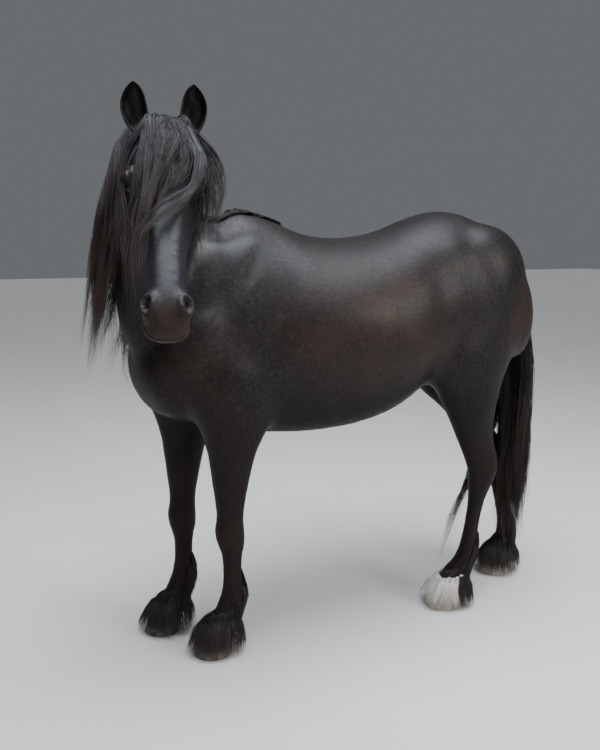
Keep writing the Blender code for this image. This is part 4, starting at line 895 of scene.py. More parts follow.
def mane_guides(tree, rng):
    """The mane's locks: rooted in the crest, hanging past the neck on the right, a few by the poll on the left."""
    frame = (NECK_CENTRES, NECK_LEFT, NECK_CREST)
    stations = [(0.13 + 0.86 * ((k * 29) % MANE_LOCKS / MANE_LOCKS) ** 0.8, -1) for k in range(MANE_LOCKS)]
    stations += [(0.80 + 0.19 * (k + 0.5) / MANE_LEFT_LOCKS, 1) for k in range(MANE_LEFT_LOCKS)]
    guides = []
    for t, side in stations:
        layer = rng.uniform(0.004, 0.034) + 0.008 * (side > 0)
        t = t + rng.uniform(-0.01, 0.01)
        centre, left, up = (along_neck(t, numbers) for numbers in frame)
        _, _, _, half, top, _ = along_neck(t, NECK_ROWS)
        aside = left * side
        reach = np.interp(t, *MANE_REACH) * rng.uniform(0.62, 1.10) * (0.55 if side > 0 else 1)
        drift = np.array((0, 0, -1.0)) + np.array(MANE_DRIFT) * (side < 0) + rng.uniform(-0.05, 0.05, 3) * (1, 1, 0)
        fall = centre - up * 0.01 + aside * (half + layer + 0.010)
        path = [centre + up * (top - 0.022) + aside * 0.004]
        path.append(centre + up * (top + 0.5 * layer) + aside * 0.022)
        path.append(centre + up * (top * 0.72 + 0.7 * layer) + aside * (half * 0.68 + 0.7 * layer))
        path += [fall + drift * reach * part for part in (0, 0.25, 0.5, 0.75, 1.0)]
        path = waved(np.array(path), np.cross(aside, up), rng, (0.008, 0.028), (1.2, 3.0))
        path = waved(path, aside, rng, (0.002, 0.010), (1.0, 2.4))
        hang = [layer + 0.006] * 3 + [layer] * 2
        guides.append((laid_over(path, tree, (0, 0.004, 0.4 * layer + 0.006, *hang)), aside))
    return guides


def crest_guides(tree, rng):
    """Short locks that stand up along the crest from the withers forward and fall over to the right."""
    guides = []
    for k in range(CREST_LOCKS):
        t = 0.02 + 0.90 * (k + rng.uniform(0, 1)) / CREST_LOCKS
        centre, left, up = (along_neck(t, numbers) for numbers in (NECK_CENTRES, NECK_LEFT, NECK_CREST))
        _, _, _, half, top, _ = along_neck(t, NECK_ROWS)
        lift = np.interp(t, (0, 0.1, 0.17, 0.25, 0.32, 0.6, 1), (0.001, 0.003, 0.011, 0.038, 0.058, 0.046, 0.018)) * rng.uniform(0.80, 1.05)
        over = [centre + top * up + left * off for off in np.linspace(-0.06, 0.06, 7)]
        over = [tree.ray_cast(Vector((x, y, 2.4)), Vector((0, 0, -1)))[0] for x, y, _ in over]
        root = np.array(max(over, key=lambda hit: hit.z))
        reach = np.interp(t, (0, 0.1, 0.35), (0.30, 0.45, 1.0))
        across = np.array((0.000, 0.003, -0.010, -0.30 * half - 0.02, -0.75 * half - 0.025, -half - 0.03)) * reach
        height = (-0.018, 0.6 * lift, lift, 0.8 * lift - 0.10 * top * reach, 0.5 * lift - 0.5 * top * reach, -top * reach)
        back = unit(along_neck(max(t - 0.06, 0), NECK_CENTRES) - along_neck(min(t + 0.06, 1), NECK_CENTRES))
        path = root + np.outer(height, up) + np.outer(across, left) + np.outer((0.0, 0.015, 0.040, 0.058, 0.070, 0.078), back)
        path = waved(path, back, rng, (0.001, 0.005), (0.8, 1.6))
        guides.append((laid_over(path, tree, (0, 0.003, 0.006, 0.008, 0.010, 0.012)), up))
    return guides


def forelock_guides(tree, rng):
    """The forelock's locks: rooted between the ears, over the brow to the right and beside the left eye."""
    matrix = np.array(HEAD)
    guides = []
    for k in range(FORELOCK_LOCKS):
        x0, x1, x2, x3, reach, back = FORELOCK[k % len(FORELOCK)]
        x0, x1, x2, x3 = np.array((x0, x1, x2, x3)) + rng.uniform(-0.009, 0.009, 4)
        layer = rng.uniform(0.002, 0.026)
        reach *= rng.uniform(0.78, 1.05)
        down = (0.018, 0.038, 0.34 * reach, 0.66 * reach, reach)
        off = (-0.016, 0.014 + layer, 0.014 + layer - back, 0.006 + layer - 1.3 * back, -0.008 + layer - 1.5 * back)
        path, _ = placed((np.stack([(x0, x0 * 1.1, x1, x2, x3), off, down], 1), None), matrix)
        path = waved(path, matrix[:3, 0], rng, (0.003, 0.012), (0.8, 2.2))
        margins = (0, 0.005, 0.003 + layer, 0.003 + layer, 0.001 + layer)
        guides.append((laid_over(path, tree, margins), matrix[:3, 1]))
    for k in range(CURL_LOCKS):
        across, down = np.array(CURL).T + rng.uniform(-0.006, 0.006, (2, 1))
        path, _ = placed((np.stack([across, 0.030 + 0 * down, down * rng.uniform(0.94, 1.04)], 1), None), matrix)
        path = waved(path, matrix[:3, 2], rng, (0.001, 0.004), (0.8, 1.6))
        path[0] -= 0.045 * matrix[:3, 1]
        guides.append((laid_over(path, tree, (0, 0.012, *[0.034] * 6, 0.030, 0.022)), matrix[:3, 1]))
    return guides


def tail_guides(tree, rng):
    """The tail's locks: rooted round the dock and hanging almost to the ground, and a few thin wisps forward."""
    core = np.array(TAIL_CORE)[::-1]
    guides = []
    for k in range(TAIL_LOCKS):
        level = 1.40 - 0.52 * ((k * 31) % TAIL_LOCKS) / TAIL_LOCKS
        angle = GOLDEN_ANGLE * k + rng.uniform(-0.3, 0.3)
        out = np.array((math.cos(angle), math.sin(angle), 0))
        inner = rng.uniform(0.35, 1.0)
        root = np.array((0, np.interp(level, core[:, 1], core[:, 0]), level)) + out * 0.012
        drop = level - GROUND - rng.uniform(0.05, 0.26)
        path = [root, root + out * 0.036 * inner + (0, 0.004, -0.08 * drop)]
        for part, spread in TAIL_SPREAD:
            middle = np.array((0, TAIL_CORE[-1][0] + 0.008 * part, level - part * drop))
            path.append(middle + out * spread * inner * (rng.uniform(0.7, 1.1), rng.uniform(0.5, 0.8), 0))
        path = waved(np.array(path), (-out[1], out[0], 0), rng, (0.006, 0.024), (1.0, 3.0))
        guides.append((laid_over(path, tree, (0, 0, 0.006, 0.006, 0.006, 0.006)), out))
    for x, tip in WISPS:
        path = np.array([(x, y, z) for y, z in WISP_PATH] + [tip])
        guides.append((path, np.array((0, 1.0, 0))))
    return guides


def on_hoof(foot, height, out, extra):
    """A point round the hoof at a height, in the direction `out`, this far outside its wall."""
    _, x, front, back, _ = LEGS[foot][-1]
    t = np.clip(1 - (height - GROUND) / HOOF_HEIGHT, 0, 1)
    reach = CORONET_RADIUS + SOLE_SPREAD * t + extra
    middle = (front + back) / 2 + HOOF_BACK - HOOF_SLOPE * t
    return np.array((x + out[0] * reach, middle + out[1] * reach, height))


def feather_guides(foot, tree, rng, turns, locks, ends):
    """Locks of a leg's feather, rooted in the back and sides of the cannon and falling over the hoof like a bell.

    The directions they grow in run over `turns`, in degrees from straight behind, and `ends` bounds the heights
    above the ground at which they stop.
    """
    rows = LEGS[foot][::-1]
    guides = []
    for k in range(locks):
        share = ((k * 13) % locks + rng.uniform(0.1, 0.9)) / locks
        angle = math.radians(turns[0] + (turns[1] - turns[0]) * share)
        out = np.array((math.sin(angle), math.cos(angle), 0))
        behind = max(out[1], 0)
        front = max(-out[1], 0)
        top = rng.uniform(0.165, 0.205 + 0.130 * behind - 0.035 * front)
        end = GROUND + rng.uniform(*ends)
        flare = rng.uniform(0.010, 0.034) * (1 - 0.25 * front)
        fetlock = on_leg(rows, 0.150, out, 0.012 + 0.6 * flare)
        path = [on_leg(rows, top, out, -0.006), on_leg(rows, top - 0.020, out, 0.005)]
        path.append(on_leg(rows, 0.5 * (top - 0.020) + 0.075, out, 0.004 + 0.12 * flare))
        path.append(on_leg(rows, 0.138, out, 0.008 + 0.42 * flare))
        for height, extra in ((0.108, 0.006 + 0.6 * flare), (0.072, 0.008 + 0.95 * flare), (end, 0.008 + 1.15 * flare)):
            point = on_hoof(foot, height, out, extra)
            point[1] = max(point[1], fetlock[1] * behind + point[1] * (1 - behind))
            path.append(point)
        for k, margin in ((1, 0.001), (2, 0.003)):
            near, away = tree.find_nearest(path[k])[:2]
            path[k] = np.array(near + away * margin)
        path = waved(np.array(path), np.cross(out, (0, 0, 1)), rng, (0.001, 0.007), (0.8, 2.2))
        path = laid_over(path, tree, (0, 0.001, 0.003, 0.004, 0.0, 0.0, 0.0))
        guides.append((path, out))
    return guides


def strands_of(guides, count, rng, spread, depth, lengths, wave, rows, gather=0.8):
    """Every strand of the locks as paths[strand, row], with each strand's outward direction and its tone.

    A strand follows its lock's line up to its own length. It stands off it by a * spread across and b * depth
    outward, both drawn in together towards the tip by 1 - gather * s^2, and sways by wave * sin about that.
    """
    lines = np.stack([spline_rows(path, 8)[np.linspace(0, (len(path) - 1) * 8, 33).astype(int)] for path, _ in guides])
    outward = np.stack([out for _, out in guides])[:, None, None, :]
    along = unit(np.gradient(lines, axis=1))
    across = unit(np.cross(along, outward[:, 0]))
    out = np.cross(across, along)
    n = len(lines)
    s = np.linspace(0, 1, rows) ** 1.1
    share = s * rng.uniform(*lengths, (n, count, 1))
    place = share * 32
    k = np.minimum(place.astype(int), 31)
    u = (place - k)[..., None]
    lock = np.arange(n)[:, None, None]
    line, side, off = (f[lock, k] * (1 - u) + f[lock, k + 1] * u for f in (lines, across, out))
    a = rng.uniform(-1, 1, (n, count, 1))
    b = rng.uniform(-1, 1, (n, count, 1)) * np.sqrt(1 - 0.8 * a**2)
    profile = (0.45 + 0.55 * smooth_step(share, 0, 0.2)) * (1 - gather * share**2)
    turns = rng.uniform(1.2, 2.8, (n, 1, 1)) + rng.uniform(-0.2, 0.2, (n, count, 1))
    phase = rng.uniform(0, 2 * np.pi, (n, 1, 1)) + rng.uniform(-0.5, 0.5, (n, count, 1))
    size = wave * rng.uniform(0.3, 1.5, (n, count, 1)) * smooth_step(share, 0.02, 0.5)
    stray = rng.normal(0, 1, (n, count, 1)) ** 3 * 0.16 * wave * share
    sway = size * np.sin(2 * np.pi * turns * share + phase) + stray
    lift = 0.6 * size * np.cos(2 * np.pi * turns * share + 1.7 * phase)
    wide = spread * rng.uniform(0.7, 1.2, (n, 1, 1))
    paths = line + side * (a * wide * profile + sway)[..., None] + off * (b * depth * profile + lift)[..., None]
    outs = np.broadcast_to(outward, (n, count, 1, 3)).reshape(-1, 3)
    tone = 0.6 * rng.uniform(0, 1, (n, 1)) + 0.4 * rng.uniform(0, 1, (n, count))
    return paths.reshape(n * count, rows, 3), outs, tone.ravel()


def pushed_clear(paths, tree, margin):
    """The strands with every point after the second brought out of the surface by the margin."""
    flat = paths[:, 2:].reshape(-1, 3)
    for i, point in enumerate(flat):
        near, normal, _, distance = tree.find_nearest(Vector(point))
        if distance < 0.05 and (Vector(point) - near).dot(normal) < margin:
            flat[i] = near + normal * margin
    paths[:, 2:] = flat.reshape(len(paths), -1, 3)
    return paths


def unwrap(points):
    """Each point's place on an unwrap of the skin: eight strips, cut open along trunk, neck, head, legs and tail.

    A point belongs to the strip whose line it is nearest to, counted in the strip's own girth. Its place is how
    far along that line it lies, and its angle round it.
    """
    strips = [(np.array(((0, -0.3, 1.13), (0, 1.15, 1.22))), 0.30)]
    strips += [(NECK_CENTRES[[4, 14, 24, 30]], 0.20), (np.array([HEAD @ Vector((0, -0.06, z)) for z in (0.02, 0.64)]), 0.12)]
    strips += [(rows[::8, [1, 2, 0]] * 1.0 + np.stack([0 * rows[::8, 0], (rows[::8, 3] - rows[::8, 2]) / 2, 0 * rows[::8, 0]], 1), 0.09) for rows in LEGS.values()]
    strips.append((np.array(TAIL_CORE)[:, [2, 0, 1]] * (0, 1, 1), 0.06))
    best, chart = np.full(len(points), np.inf), np.zeros((len(points), 2))
    for number, (line, girth) in enumerate(strips):
        length = np.linalg.norm(np.diff(line, axis=0), axis=1)
        start = np.concatenate([[0], np.cumsum(length)]) / length.sum()
        for k in range(len(line) - 1):
            along = (line[k + 1] - line[k]) / length[k]
            t = np.clip((points - line[k]) @ along, 0, length[k])
            away = points - line[k] - t[:, None] * along
            far = np.linalg.norm(away, axis=1) / girth
            side = unit(np.cross(along, (0.3, 0.2, 1.0)))
            angle = np.arctan2(away @ np.cross(along, side), away @ side) / (2 * np.pi) + 0.5
            u = (number % 4 + 0.02 + 0.96 * angle) / 4
            v = (number // 4 + 0.02 + 0.96 * (start[k] + (start[k + 1] - start[k]) * t / length[k])) / 2
            near = far < best
            best = np.where(near, far, best)
            chart[near] = np.stack([u, v], 1)[near]
    return chart


def hair(name, paths, outs, wide, material, slot, thick=0.4, tone=None, replaced=(), smooth=True):
    """Solid tapering strands as joined meshes of under 190,000 triangles each.

    A strand is a tube of three sides, flat below and ridged above, that narrows to one point at its tip. Marks:
    `tone` is one number for each strand, and `along` runs from 0 at the root to 1 at the tip.
    """
    n, rows = paths.shape[:2]
    along = unit(np.gradient(paths, axis=1))
    across = unit(np.cross(along, outs[:, None, :]))
    up = np.cross(across, along)
    s = np.linspace(0, 1, rows)
    taper = np.interp(s, (0, 0.15, 0.6, 1), (0.7, 1.0, 0.85, 0.0))[:, None]
    half = np.asarray(wide).reshape(-1, 1, 1) * taper
    rings = np.stack([paths - across * half, paths + up * half * thick * 2, paths + across * half], 2)[:, :-1]
    points = np.concatenate([rings.reshape(n, -1, 3), paths[:, -1:]], 1)
    row, side = np.meshgrid(np.arange(rows - 2), np.arange(3), indexing="ij")
    a, b = (row * 3 + side).ravel(), (row * 3 + (side + 1) % 3).ravel()
    last = (rows - 2) * 3
    faces = np.concatenate([np.stack([a, b, b + 3], 1), np.stack([a, b + 3, a + 3], 1), [[0, 2, 1]]])
    faces = np.concatenate([faces, [[last + k, last + (k + 1) % 3, last + 3] for k in range(3)]])
    corner = points[0][faces]
    if np.einsum("ij,ij->i", corner[:, 0] - points[0].mean(0), np.cross(corner[:, 1] - corner[:, 0], corner[:, 2] - corner[:, 0])).sum() < 0:
        faces = faces[:, ::-1]
    size = points.shape[1]
    steps = np.concatenate([np.repeat(s[:-1], 3), [1.0]])
    sides = np.concatenate([np.tile((0.0, 0.5, 1.0), rows - 1), [0.5]])
    patch = 0.003 * (np.stack([sides, steps], 1) - 0.5)
    roots = unwrap(paths[:, 0])
    tone = np.random.default_rng(n).uniform(0, 1, n) if tone is None else tone
    made, most = [], int(190000 / len(faces))
    for number, first in enumerate(range(0, n, most)):
        chosen = slice(first, min(first + most, n))
        count = chosen.stop - first
        corners = faces[None] + size * np.arange(count)[:, None, None]
        chart = (roots[chosen, None, None] + patch[faces][None]).reshape(-1, 2)
        marks = {"tone": np.repeat(tone[chosen], size), "along": np.tile(steps, count)}
        obj = mesh_of(f"{name}_{number + 1}", points[chosen].reshape(-1, 3) + SHIFT, [corners.reshape(-1, 3)], chart, marks)
        obj.data.polygons.foreach_set("use_smooth", np.full(len(obj.data.polygons), smooth))
        finished(obj, material, slot, replaced if not number else ())
        made.append(obj)
    return made


def lie(points):
    """The way the short coat lies: down the face, back along the neck and barrel, down the legs."""
    down = np.array((0.0, 0.12, -1.0))
    on_trunk = np.array((0.0, 1.0, -0.5))
    on_neck = np.array((-0.55, 0.45, -0.70))
    leg = (1 - smooth_step(points[:, 2], 0.72, 0.98))[:, None]
    head = (smooth_step(on_head(points)[:, 2], 0.0, 0.06) * (points[:, 0] > 0.30) * (points[:, 2] > 1.1))[:, None]
    fore = (1 - smooth_step(points[:, 1], -0.10, 0.20))[:, None] * (1 - leg)
    way = leg * down + fore * on_neck + (1 - leg) * (1 - fore) * on_trunk
    return unit((1 - head) * way + head * HEAD_TURN[:, 2])


def short_coat(obj, count, rng):
    """Roots, paths and outward directions of the short coat's tufts, spread over the skin by area."""
    mesh = obj.data
    mesh.calc_loop_triangles()
    corners = np.empty(len(mesh.loop_triangles) * 3, np.int32)
    mesh.loop_triangles.foreach_get("vertices", corners)
    corners = corners.reshape(-1, 3)
    points, normals = points_of(mesh), normals_of(mesh)
    a, b, c = (points[corners[:, k]] for k in range(3))
    area = np.linalg.norm(np.cross(b - a, c - a), axis=1)
    middle = (a + b + c) / 3
    facing = normals[corners].mean(axis=1)
    share = 0.40 + 1.2 * smooth_step(-facing[:, 2], 0.1, 0.7) + 0.7 * (1 - smooth_step(middle[:, 2], 0.80, 0.95))
    share += 0.8 * smooth_step(-facing[:, 1], 0.5, 0.9) * (middle[:, 2] < 1.3)
    area = area * share
    chosen = rng.choice(len(corners), count, p=area / area.sum())
    u, v = rng.uniform(0, 1, (2, count, 1))
    u, v = np.where(u + v > 1, 1 - u, u), np.where(u + v > 1, 1 - v, v)
    mix = lambda field: field[corners[chosen, 0]] * (1 - u - v) + field[corners[chosen, 1]] * u + field[corners[chosen, 2]] * v
    root, normal = mix(points), unit(mix(normals))
    way = lie(root) + rng.normal(0, 0.10, (count, 3))
    way = unit(way - normal * np.einsum("ij,ij->i", way, normal)[:, None])
    head = (on_head(root)[:, 2] > 0.0) & (root[:, 0] > 0.33) & (root[:, 2] > 1.05)
    keep = ~(by_face(root) & (rng.uniform(0, 1, count) < 0.75))
    eyes = [np.linalg.norm(on_head(root) - np.array(EYE) * (side, 1, 1), axis=1) < 0.034 for side in (1, -1)]
    keep &= ~(eyes[0] | eyes[1]) & (root[:, 2] > GROUND + 0.07)
    length = np.where(head, 0.006, 0.011) * rng.uniform(0.7, 1.3, count)
    length *= 1 + 1.0 * smooth_step(-normal[:, 2], 0.2, 0.8) * ~head
    rise = np.where(head, 0.0004, 0.0007) * rng.uniform(0.4, 1.3, count)
    rise *= 1 + 1.5 * smooth_step(-normal[:, 2], 0.2, 0.8) * ~head
    s = np.array((0, 0.5, 1.0))[None, :, None]
    lift = np.array((-0.0003, 0.7, 1.0))
    height = np.stack([np.full(count, lift[0]), rise * lift[1], rise * lift[2]], 1)[..., None]
    paths = root[:, None] + way[:, None] * s * length[:, None, None] + normal[:, None] * height
    return paths[keep], normal[keep]


class Value:
    """A number in a shader. Arithmetic on it adds Math nodes."""

    def __init__(self, shader, socket):
        self.shader, self.socket = shader, socket

    def maths(self, operation, *others):
        return self.shader.maths(operation, self, *others)

    def __add__(self, other):
        return self.shader.maths("ADD", self, other)

    def __sub__(self, other):
        return self.shader.maths("SUBTRACT", self, other)

    def __rsub__(self, other):
        return self.shader.maths("SUBTRACT", other, self)

    def __mul__(self, other):
        return self.shader.maths("MULTIPLY", self, other)

    __radd__ = __add__
    __rmul__ = __mul__

    def step(self, low, high):
        """0 below low and 1 above high, running smoothly between."""
        sockets = {"Value": self, "From Min": low, "From Max": high}
        return self.shader.value("ShaderNodeMapRange", {"interpolation_type": "SMOOTHSTEP"}, sockets)

    def clamped(self):
        return self.shader.value("ShaderNodeClamp", {}, {"Value": self})


class Shader:
    """A material and its nodes, with a surface that starts from constant values."""

    def __init__(self, name, **constants):
        self.material = bpy.data.materials.new(name)
        self.material.use_nodes = True
        self.tree = self.material.node_tree
        self.surface = self.tree.nodes["Principled BSDF"]
        for key, value in constants.items():
            self.surface.inputs[key.replace("_", " ")].default_value = value

    def add(self, kind, settings=None, sockets=None):
        """One node: its settings first, then the values or links of its sockets."""
        node = self.tree.nodes.new(kind)
        for key, setting in (settings or {}).items():
            if key == "stops":
                ramp = node.color_ramp.elements
                for place, _ in setting[2:]:
                    ramp.new(place)
                for element, (place, colour) in zip(ramp, setting):
                    element.position, element.color = place, (*colour, 1)
            else:
                setattr(node, key, setting)
        for key, value in (sockets or {}).items():
            if isinstance(value, Value):
                value = value.socket
            if isinstance(value, bpy.types.NodeSocket):
                self.tree.links.new(value, node.inputs[key])
            else:
                node.inputs[key].default_value = value
        return node

    def value(self, kind, settings=None, sockets=None, output=0):
        return Value(self, self.add(kind, settings, sockets).outputs[output])

    def maths(self, operation, *values):
        return self.value("ShaderNodeMath", {"operation": operation}, dict(enumerate(values)))

    def place(self):
        """Object coordinates, as a vector's socket."""
        return self.add("ShaderNodeTexCoord").outputs["Object"]

    def height(self):
        """The height of the point in the object's own coordinates."""
        return Value(self, self.add("ShaderNodeSeparateXYZ", {}, {0: self.place()}).outputs["Z"])

    def mark(self, name):
        """A number that the mesh carries for each point."""
        return self.value("ShaderNodeAttribute", {"attribute_name": name}, None, "Fac")

    def noise(self, scale, detail=3.0, stretch=(1, 1, 1), turn=(0, 0, 0)):
        """Noise over the object, from 0 to 1, finer along the axes that are stretched more."""
        place = self.add("ShaderNodeMapping", {}, {"Vector": self.place(), "Scale": stretch, "Rotation": turn}).outputs[0]
        return self.value("ShaderNodeTexNoise", {}, {"Vector": place, "Scale": scale, "Detail": detail})

    def spot(self, centre, reach):
        """1 at a centre, falling smoothly to 0 at the reach along each axis, both in the working frame."""
        centre = tuple(np.array(centre) + SHIFT)
        away = self.add("ShaderNodeVectorMath", {"operation": "SUBTRACT"}, {0: self.place(), 1: centre}).outputs[0]
        away = self.add("ShaderNodeVectorMath", {"operation": "DIVIDE"}, {0: away, 1: reach}).outputs[0]
        far = self.value("ShaderNodeVectorMath", {"operation": "LENGTH"}, {0: away}, "Value")
        return 1 - far.step(0.25, 1.0)

    def colour(self, value):
        """A plain colour's socket value with its alpha."""
        return value if isinstance(value, bpy.types.NodeSocket) else (*value, 1)

    def mixed(self, factor, first, second):
        """The first colour where the factor is 0, the second where it is 1."""
        sockets = {"Factor": factor, 6: self.colour(first), 7: self.colour(second)}
        return self.add("ShaderNodeMix", {"data_type": "RGBA", "clamp_factor": True}, sockets).outputs[2]

    def feed(self, **links):
        """Links or sets the surface's sockets, and returns the material."""
        for key, value in links.items():
            socket = self.surface.inputs[key.replace("_", " ")]
            if isinstance(value, Value):
                value = value.socket
            if isinstance(value, bpy.types.NodeSocket):
                self.tree.links.new(value, socket)
            else:
                socket.default_value = value
        return self.material

    def bumped(self, height, distance, strength=1.0):
        """The normal over a height."""
        sockets = {"Height": height, "Distance": distance, "Strength": strength}
        return self.add("ShaderNodeBump", {}, sockets).outputs[0]


def coat_colour(shader):
    """The coat's colours: black, rusty where the sun bleached it, a painted bluish sheen on the nose, pale dust flecks
    that thin towards the ground as painted shade, white by one hoof.
    """
    cloud = shader.noise(5.0, 4.0)
    grain = shader.noise(90.0, 4.0)
    shade = shader.mixed(cloud.step(0.35, 0.7), BLACK, BROWN_BLACK)
    rust = shader.maths("MAXIMUM", shader.spot((0.0, 0.48, 1.16), (0.9, 0.50, 0.30)), shader.spot((0.0, 1.16, 1.14), (0.5, 0.20, 0.30)))
    rust = shader.maths("MAXIMUM", rust, shader.spot((0.10, -0.06, 0.47), (0.16, 0.14, 0.10)) * 0.8)
    rust = shader.maths("MAXIMUM", rust, shader.spot((0.16, -0.12, 1.08), (0.24, 0.24, 0.22)) * 0.45)
    shade = shader.mixed(rust * (0.35 + 0.65 * shader.noise(9.0, 4.0).step(0.35, 0.75)), shade, RUST)
    # A painted highlight: a bluish sheen laid down the nose's ridge
    nose = tuple(HEAD @ Vector((0, 0.0, 0.42)))
    shade = shader.mixed(shader.spot(nose, (0.16, 0.16, 0.24)) * 0.55, shade, PAINTED_NOSE_SHEEN)
    lips = tuple(HEAD @ Vector((0, -0.09, 0.60)))
    shade = shader.mixed(shader.spot(lips, (0.12, 0.12, 0.10)) * (0.4 + 0.6 * cloud), shade, MUZZLE_BROWN)
    upper = shader.height().step(0.55, 1.05)
    shade = shader.mixed((1 - upper) * 0.55, shade, LEG_BROWN)
    # Pale dust flecks over the coat, partly painted shade: they thin out towards the ground, which paints the legs and
    # lower body darker
    shade = shader.mixed(grain.step(0.42, 0.75) * (0.12 + 0.33 * upper), shade, DUST)
    x, front, back = (LEGS["hind_left"][-1, k] for k in (1, 2, 3))
    white = shader.spot((x, (front + back) / 2 - 0.015, GROUND + 0.045), (0.16, 0.14, 0.090))
    return shader.mixed((white * 3.0 - 0.5 + 0.6 * grain).clamped(), shade, WHITE_HAIR)


def coat_gloss(shader):
    """How glossy the coat is: sleek on the back and barrel, duller on the legs, the chest and the neck's foot."""
    breast = shader.spot((0.10, -0.30, 1.05), (0.40, 0.34, 0.45))
    brow = shader.spot(tuple(HEAD @ Vector((0, -0.02, 0.17))), (0.20, 0.17, 0.16))
    lips = shader.spot(tuple(HEAD @ Vector((0, -0.06, 0.60))), (0.12, 0.11, 0.10))
    return shader.height().step(0.75, 1.20) * (1 - 0.85 * breast) * (1 - 0.8 * brow) * (1 - 0.8 * lips) * 0.29


def coat_material():
    """The short coat over the skin: fine hairs as bump, laid along the barrel and down the legs."""
    shader = Shader("short_coat", Roughness=0.42, Specular_IOR_Level=0.12, Coat_Roughness=0.42)
    along = shader.noise(1.0, 2.0, (300, 70, 220))
    down = shader.noise(1.0, 2.0, (300, 300, 60))
    ahead = shader.add("ShaderNodeSeparateXYZ", {}, {0: shader.place()}).outputs["X"]
    low = shader.maths("MAXIMUM", 1 - shader.height().step(0.7, 1.0), Value(shader, ahead).step(0.02, 0.12))
    fine = along * (1 - low) + down * low
    folds = shader.noise(38.0, 3.0)
    mouth = shader.spot(tuple(HEAD @ Vector((0, -0.06, 0.60))), (0.11, 0.10, 0.09))
    rough = 0.34 + 0.20 * shader.noise(14.0, 4.0) + 0.10 * fine + 0.22 * mouth
    normal = shader.bumped(fine * 0.8 + folds * 0.5, 0.0022, 0.45)
    return shader.feed(Base_Color=coat_colour(shader), Roughness=rough, Coat_Weight=coat_gloss(shader), Normal=normal)


def tuft_material():
    """The short coat's tufts: the skin's own colours, its painted nose sheen and painted shade low down included, with
    a little of each tuft's tone.
    """
    shader = Shader("coat_tufts", Roughness=0.45, Specular_IOR_Level=0.12, Coat_Roughness=0.42)
    shade = shader.mixed(shader.mark("tone") * 0.3, coat_colour(shader), DUST)
    return shader.feed(Base_Color=shade, Coat_Weight=coat_gloss(shader))


def hair_material(name, dark, light, tip, tip_share, roughness):
    """Long hair: each strand between the dark and the light shade, running to another at its tip."""
    shader = Shader(name, Roughness=roughness, Specular_IOR_Level=0.30)
    along, tone = shader.mark("along"), shader.mark("tone")
    patch = shader.noise(7.0, 3.0)
    shade = shader.mixed((tone * tone * tone * 1.7 + patch.step(0.4, 0.75) * 0.25).clamped(), dark, light)
    ends = along.step(0.45, 1.0) * tip_share * (0.4 + tone)
    rough = roughness - 0.06 + 0.12 * tone
    return shader.feed(Base_Color=shader.mixed(ends.clamped(), shade, tip), Roughness=rough)


def eye_material():
    """A dark, wet eye: a wide dark pupil in a brown ring, dark at the rim."""
    shader = Shader("eye", Roughness=0.03, IOR=1.38, Coat_Weight=1.0, Coat_Roughness=0.02)
    ring = shader.mark("ring")
    stops = [(0.0, (0.002, 0.002, 0.003)), (0.42, (0.003, 0.002, 0.003)), (0.50, (0.030, 0.014, 0.007))]
    stops += [(0.80, (0.018, 0.008, 0.005)), (0.93, (0.004, 0.003, 0.003)), (1.0, (0.05, 0.035, 0.03))]
    streaks = shader.noise(220.0, 3.0) * 0.06 - 0.03
    ramp = shader.add("ShaderNodeValToRGB", {"stops": stops}, {0: (ring + streaks).clamped()}).outputs[0]
    return shader.feed(Base_Color=ramp)


def hoof_material(name, light, dark, dust):
    """Horn: fine upright streaks, growth rings and dust towards the ground."""
    shader = Shader(name, Roughness=0.45, Specular_IOR_Level=0.5)
    streak = shader.noise(1.0, 3.0, (260, 260, 14))
    ring = shader.noise(1.0, 1.0, (5, 5, 150))
    height = Value(shader, shader.add("ShaderNodeSeparateXYZ", {}, {0: shader.place()}).outputs["Z"])
    shade = shader.mixed(streak.step(0.3, 0.7) * 0.6 + ring.step(0.4, 0.7) * 0.2, light, dark)
    low = (1 - height.step(0.0, 0.05)) * shader.noise(45.0, 4.0).step(0.3, 0.7)
    normal = shader.bumped(streak * 0.5 + ring * 0.5, 0.0008, 0.4)
    return shader.feed(Base_Color=shader.mixed(low, shade, dust), Roughness=0.5 + 0.25 * low, Normal=normal)


def floor_material():
    """A plain pale floor."""
    shader = Shader("floor", Roughness=0.85)
    shade = shader.mixed(shader.noise(3.0, 3.0), (0.62, 0.61, 0.59), (0.67, 0.66, 0.64))
    return shader.feed(Base_Color=shade)


def finished(obj, material, slot, replaced=()):
    """Gives a piece its material and its body, and hides the solids it stands for. The slot is not used."""
    obj.data.materials.clear()
    obj.data.materials.append(material)
    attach(obj, "root")
    if replaced:
        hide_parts(*replaced)
    return obj


def legs_hair(skin_tree, rng):
    """The feather of all four legs, and white hair over the front of the left hind hoof."""
    black = hair_material("feather_hair", (0.0135, 0.0102, 0.0098), (0.036, 0.029, 0.028), (0.060, 0.046, 0.040), 0.6, 0.42)
    white = hair_material("white_hair", (0.70, 0.66, 0.60), WHITE_HAIR, (0.72, 0.66, 0.58), 0.5, 0.5)
    count = 32
    for foot in LEGS:
        around = (-85, 85) if foot == "hind_left" else (-180, 180)
        guides = feather_guides(foot, skin_tree, rng, around, FEATHER_LOCKS, (0.002, 0.014))
        paths, outs, tone = strands_of(guides, count, rng, 0.019, 0.007, (0.80, 1.0), 0.003, 8, 0.50)
        paths[..., 2] = np.maximum(paths[..., 2], GROUND + 0.002)
        hair("feather_" + foot, paths, outs, 0.0013, black, "hair", tone=tone)
    guides = feather_guides("hind_left", skin_tree, rng, (75, 285), 48, (0.002, 0.026))
    dark, light = guides[::3], guides[1::3] + guides[2::3]
    paths, outs, tone = strands_of(dark, count, rng, 0.014, 0.004, (0.30, 0.55), 0.002, 7, 0.60)
    hair("pastern_hair", paths, outs, 0.0011, black, "hair", tone=tone)
    for path, _ in light:
        path[:4] += (path[3] - path[:4]) * 0.75
    paths, outs, tone = strands_of(light, count, rng, 0.017, 0.004, (0.75, 1.0), 0.002, 7, 0.50)
    hair("white_hair", paths, outs, 0.0013, white, "hair", tone=tone)


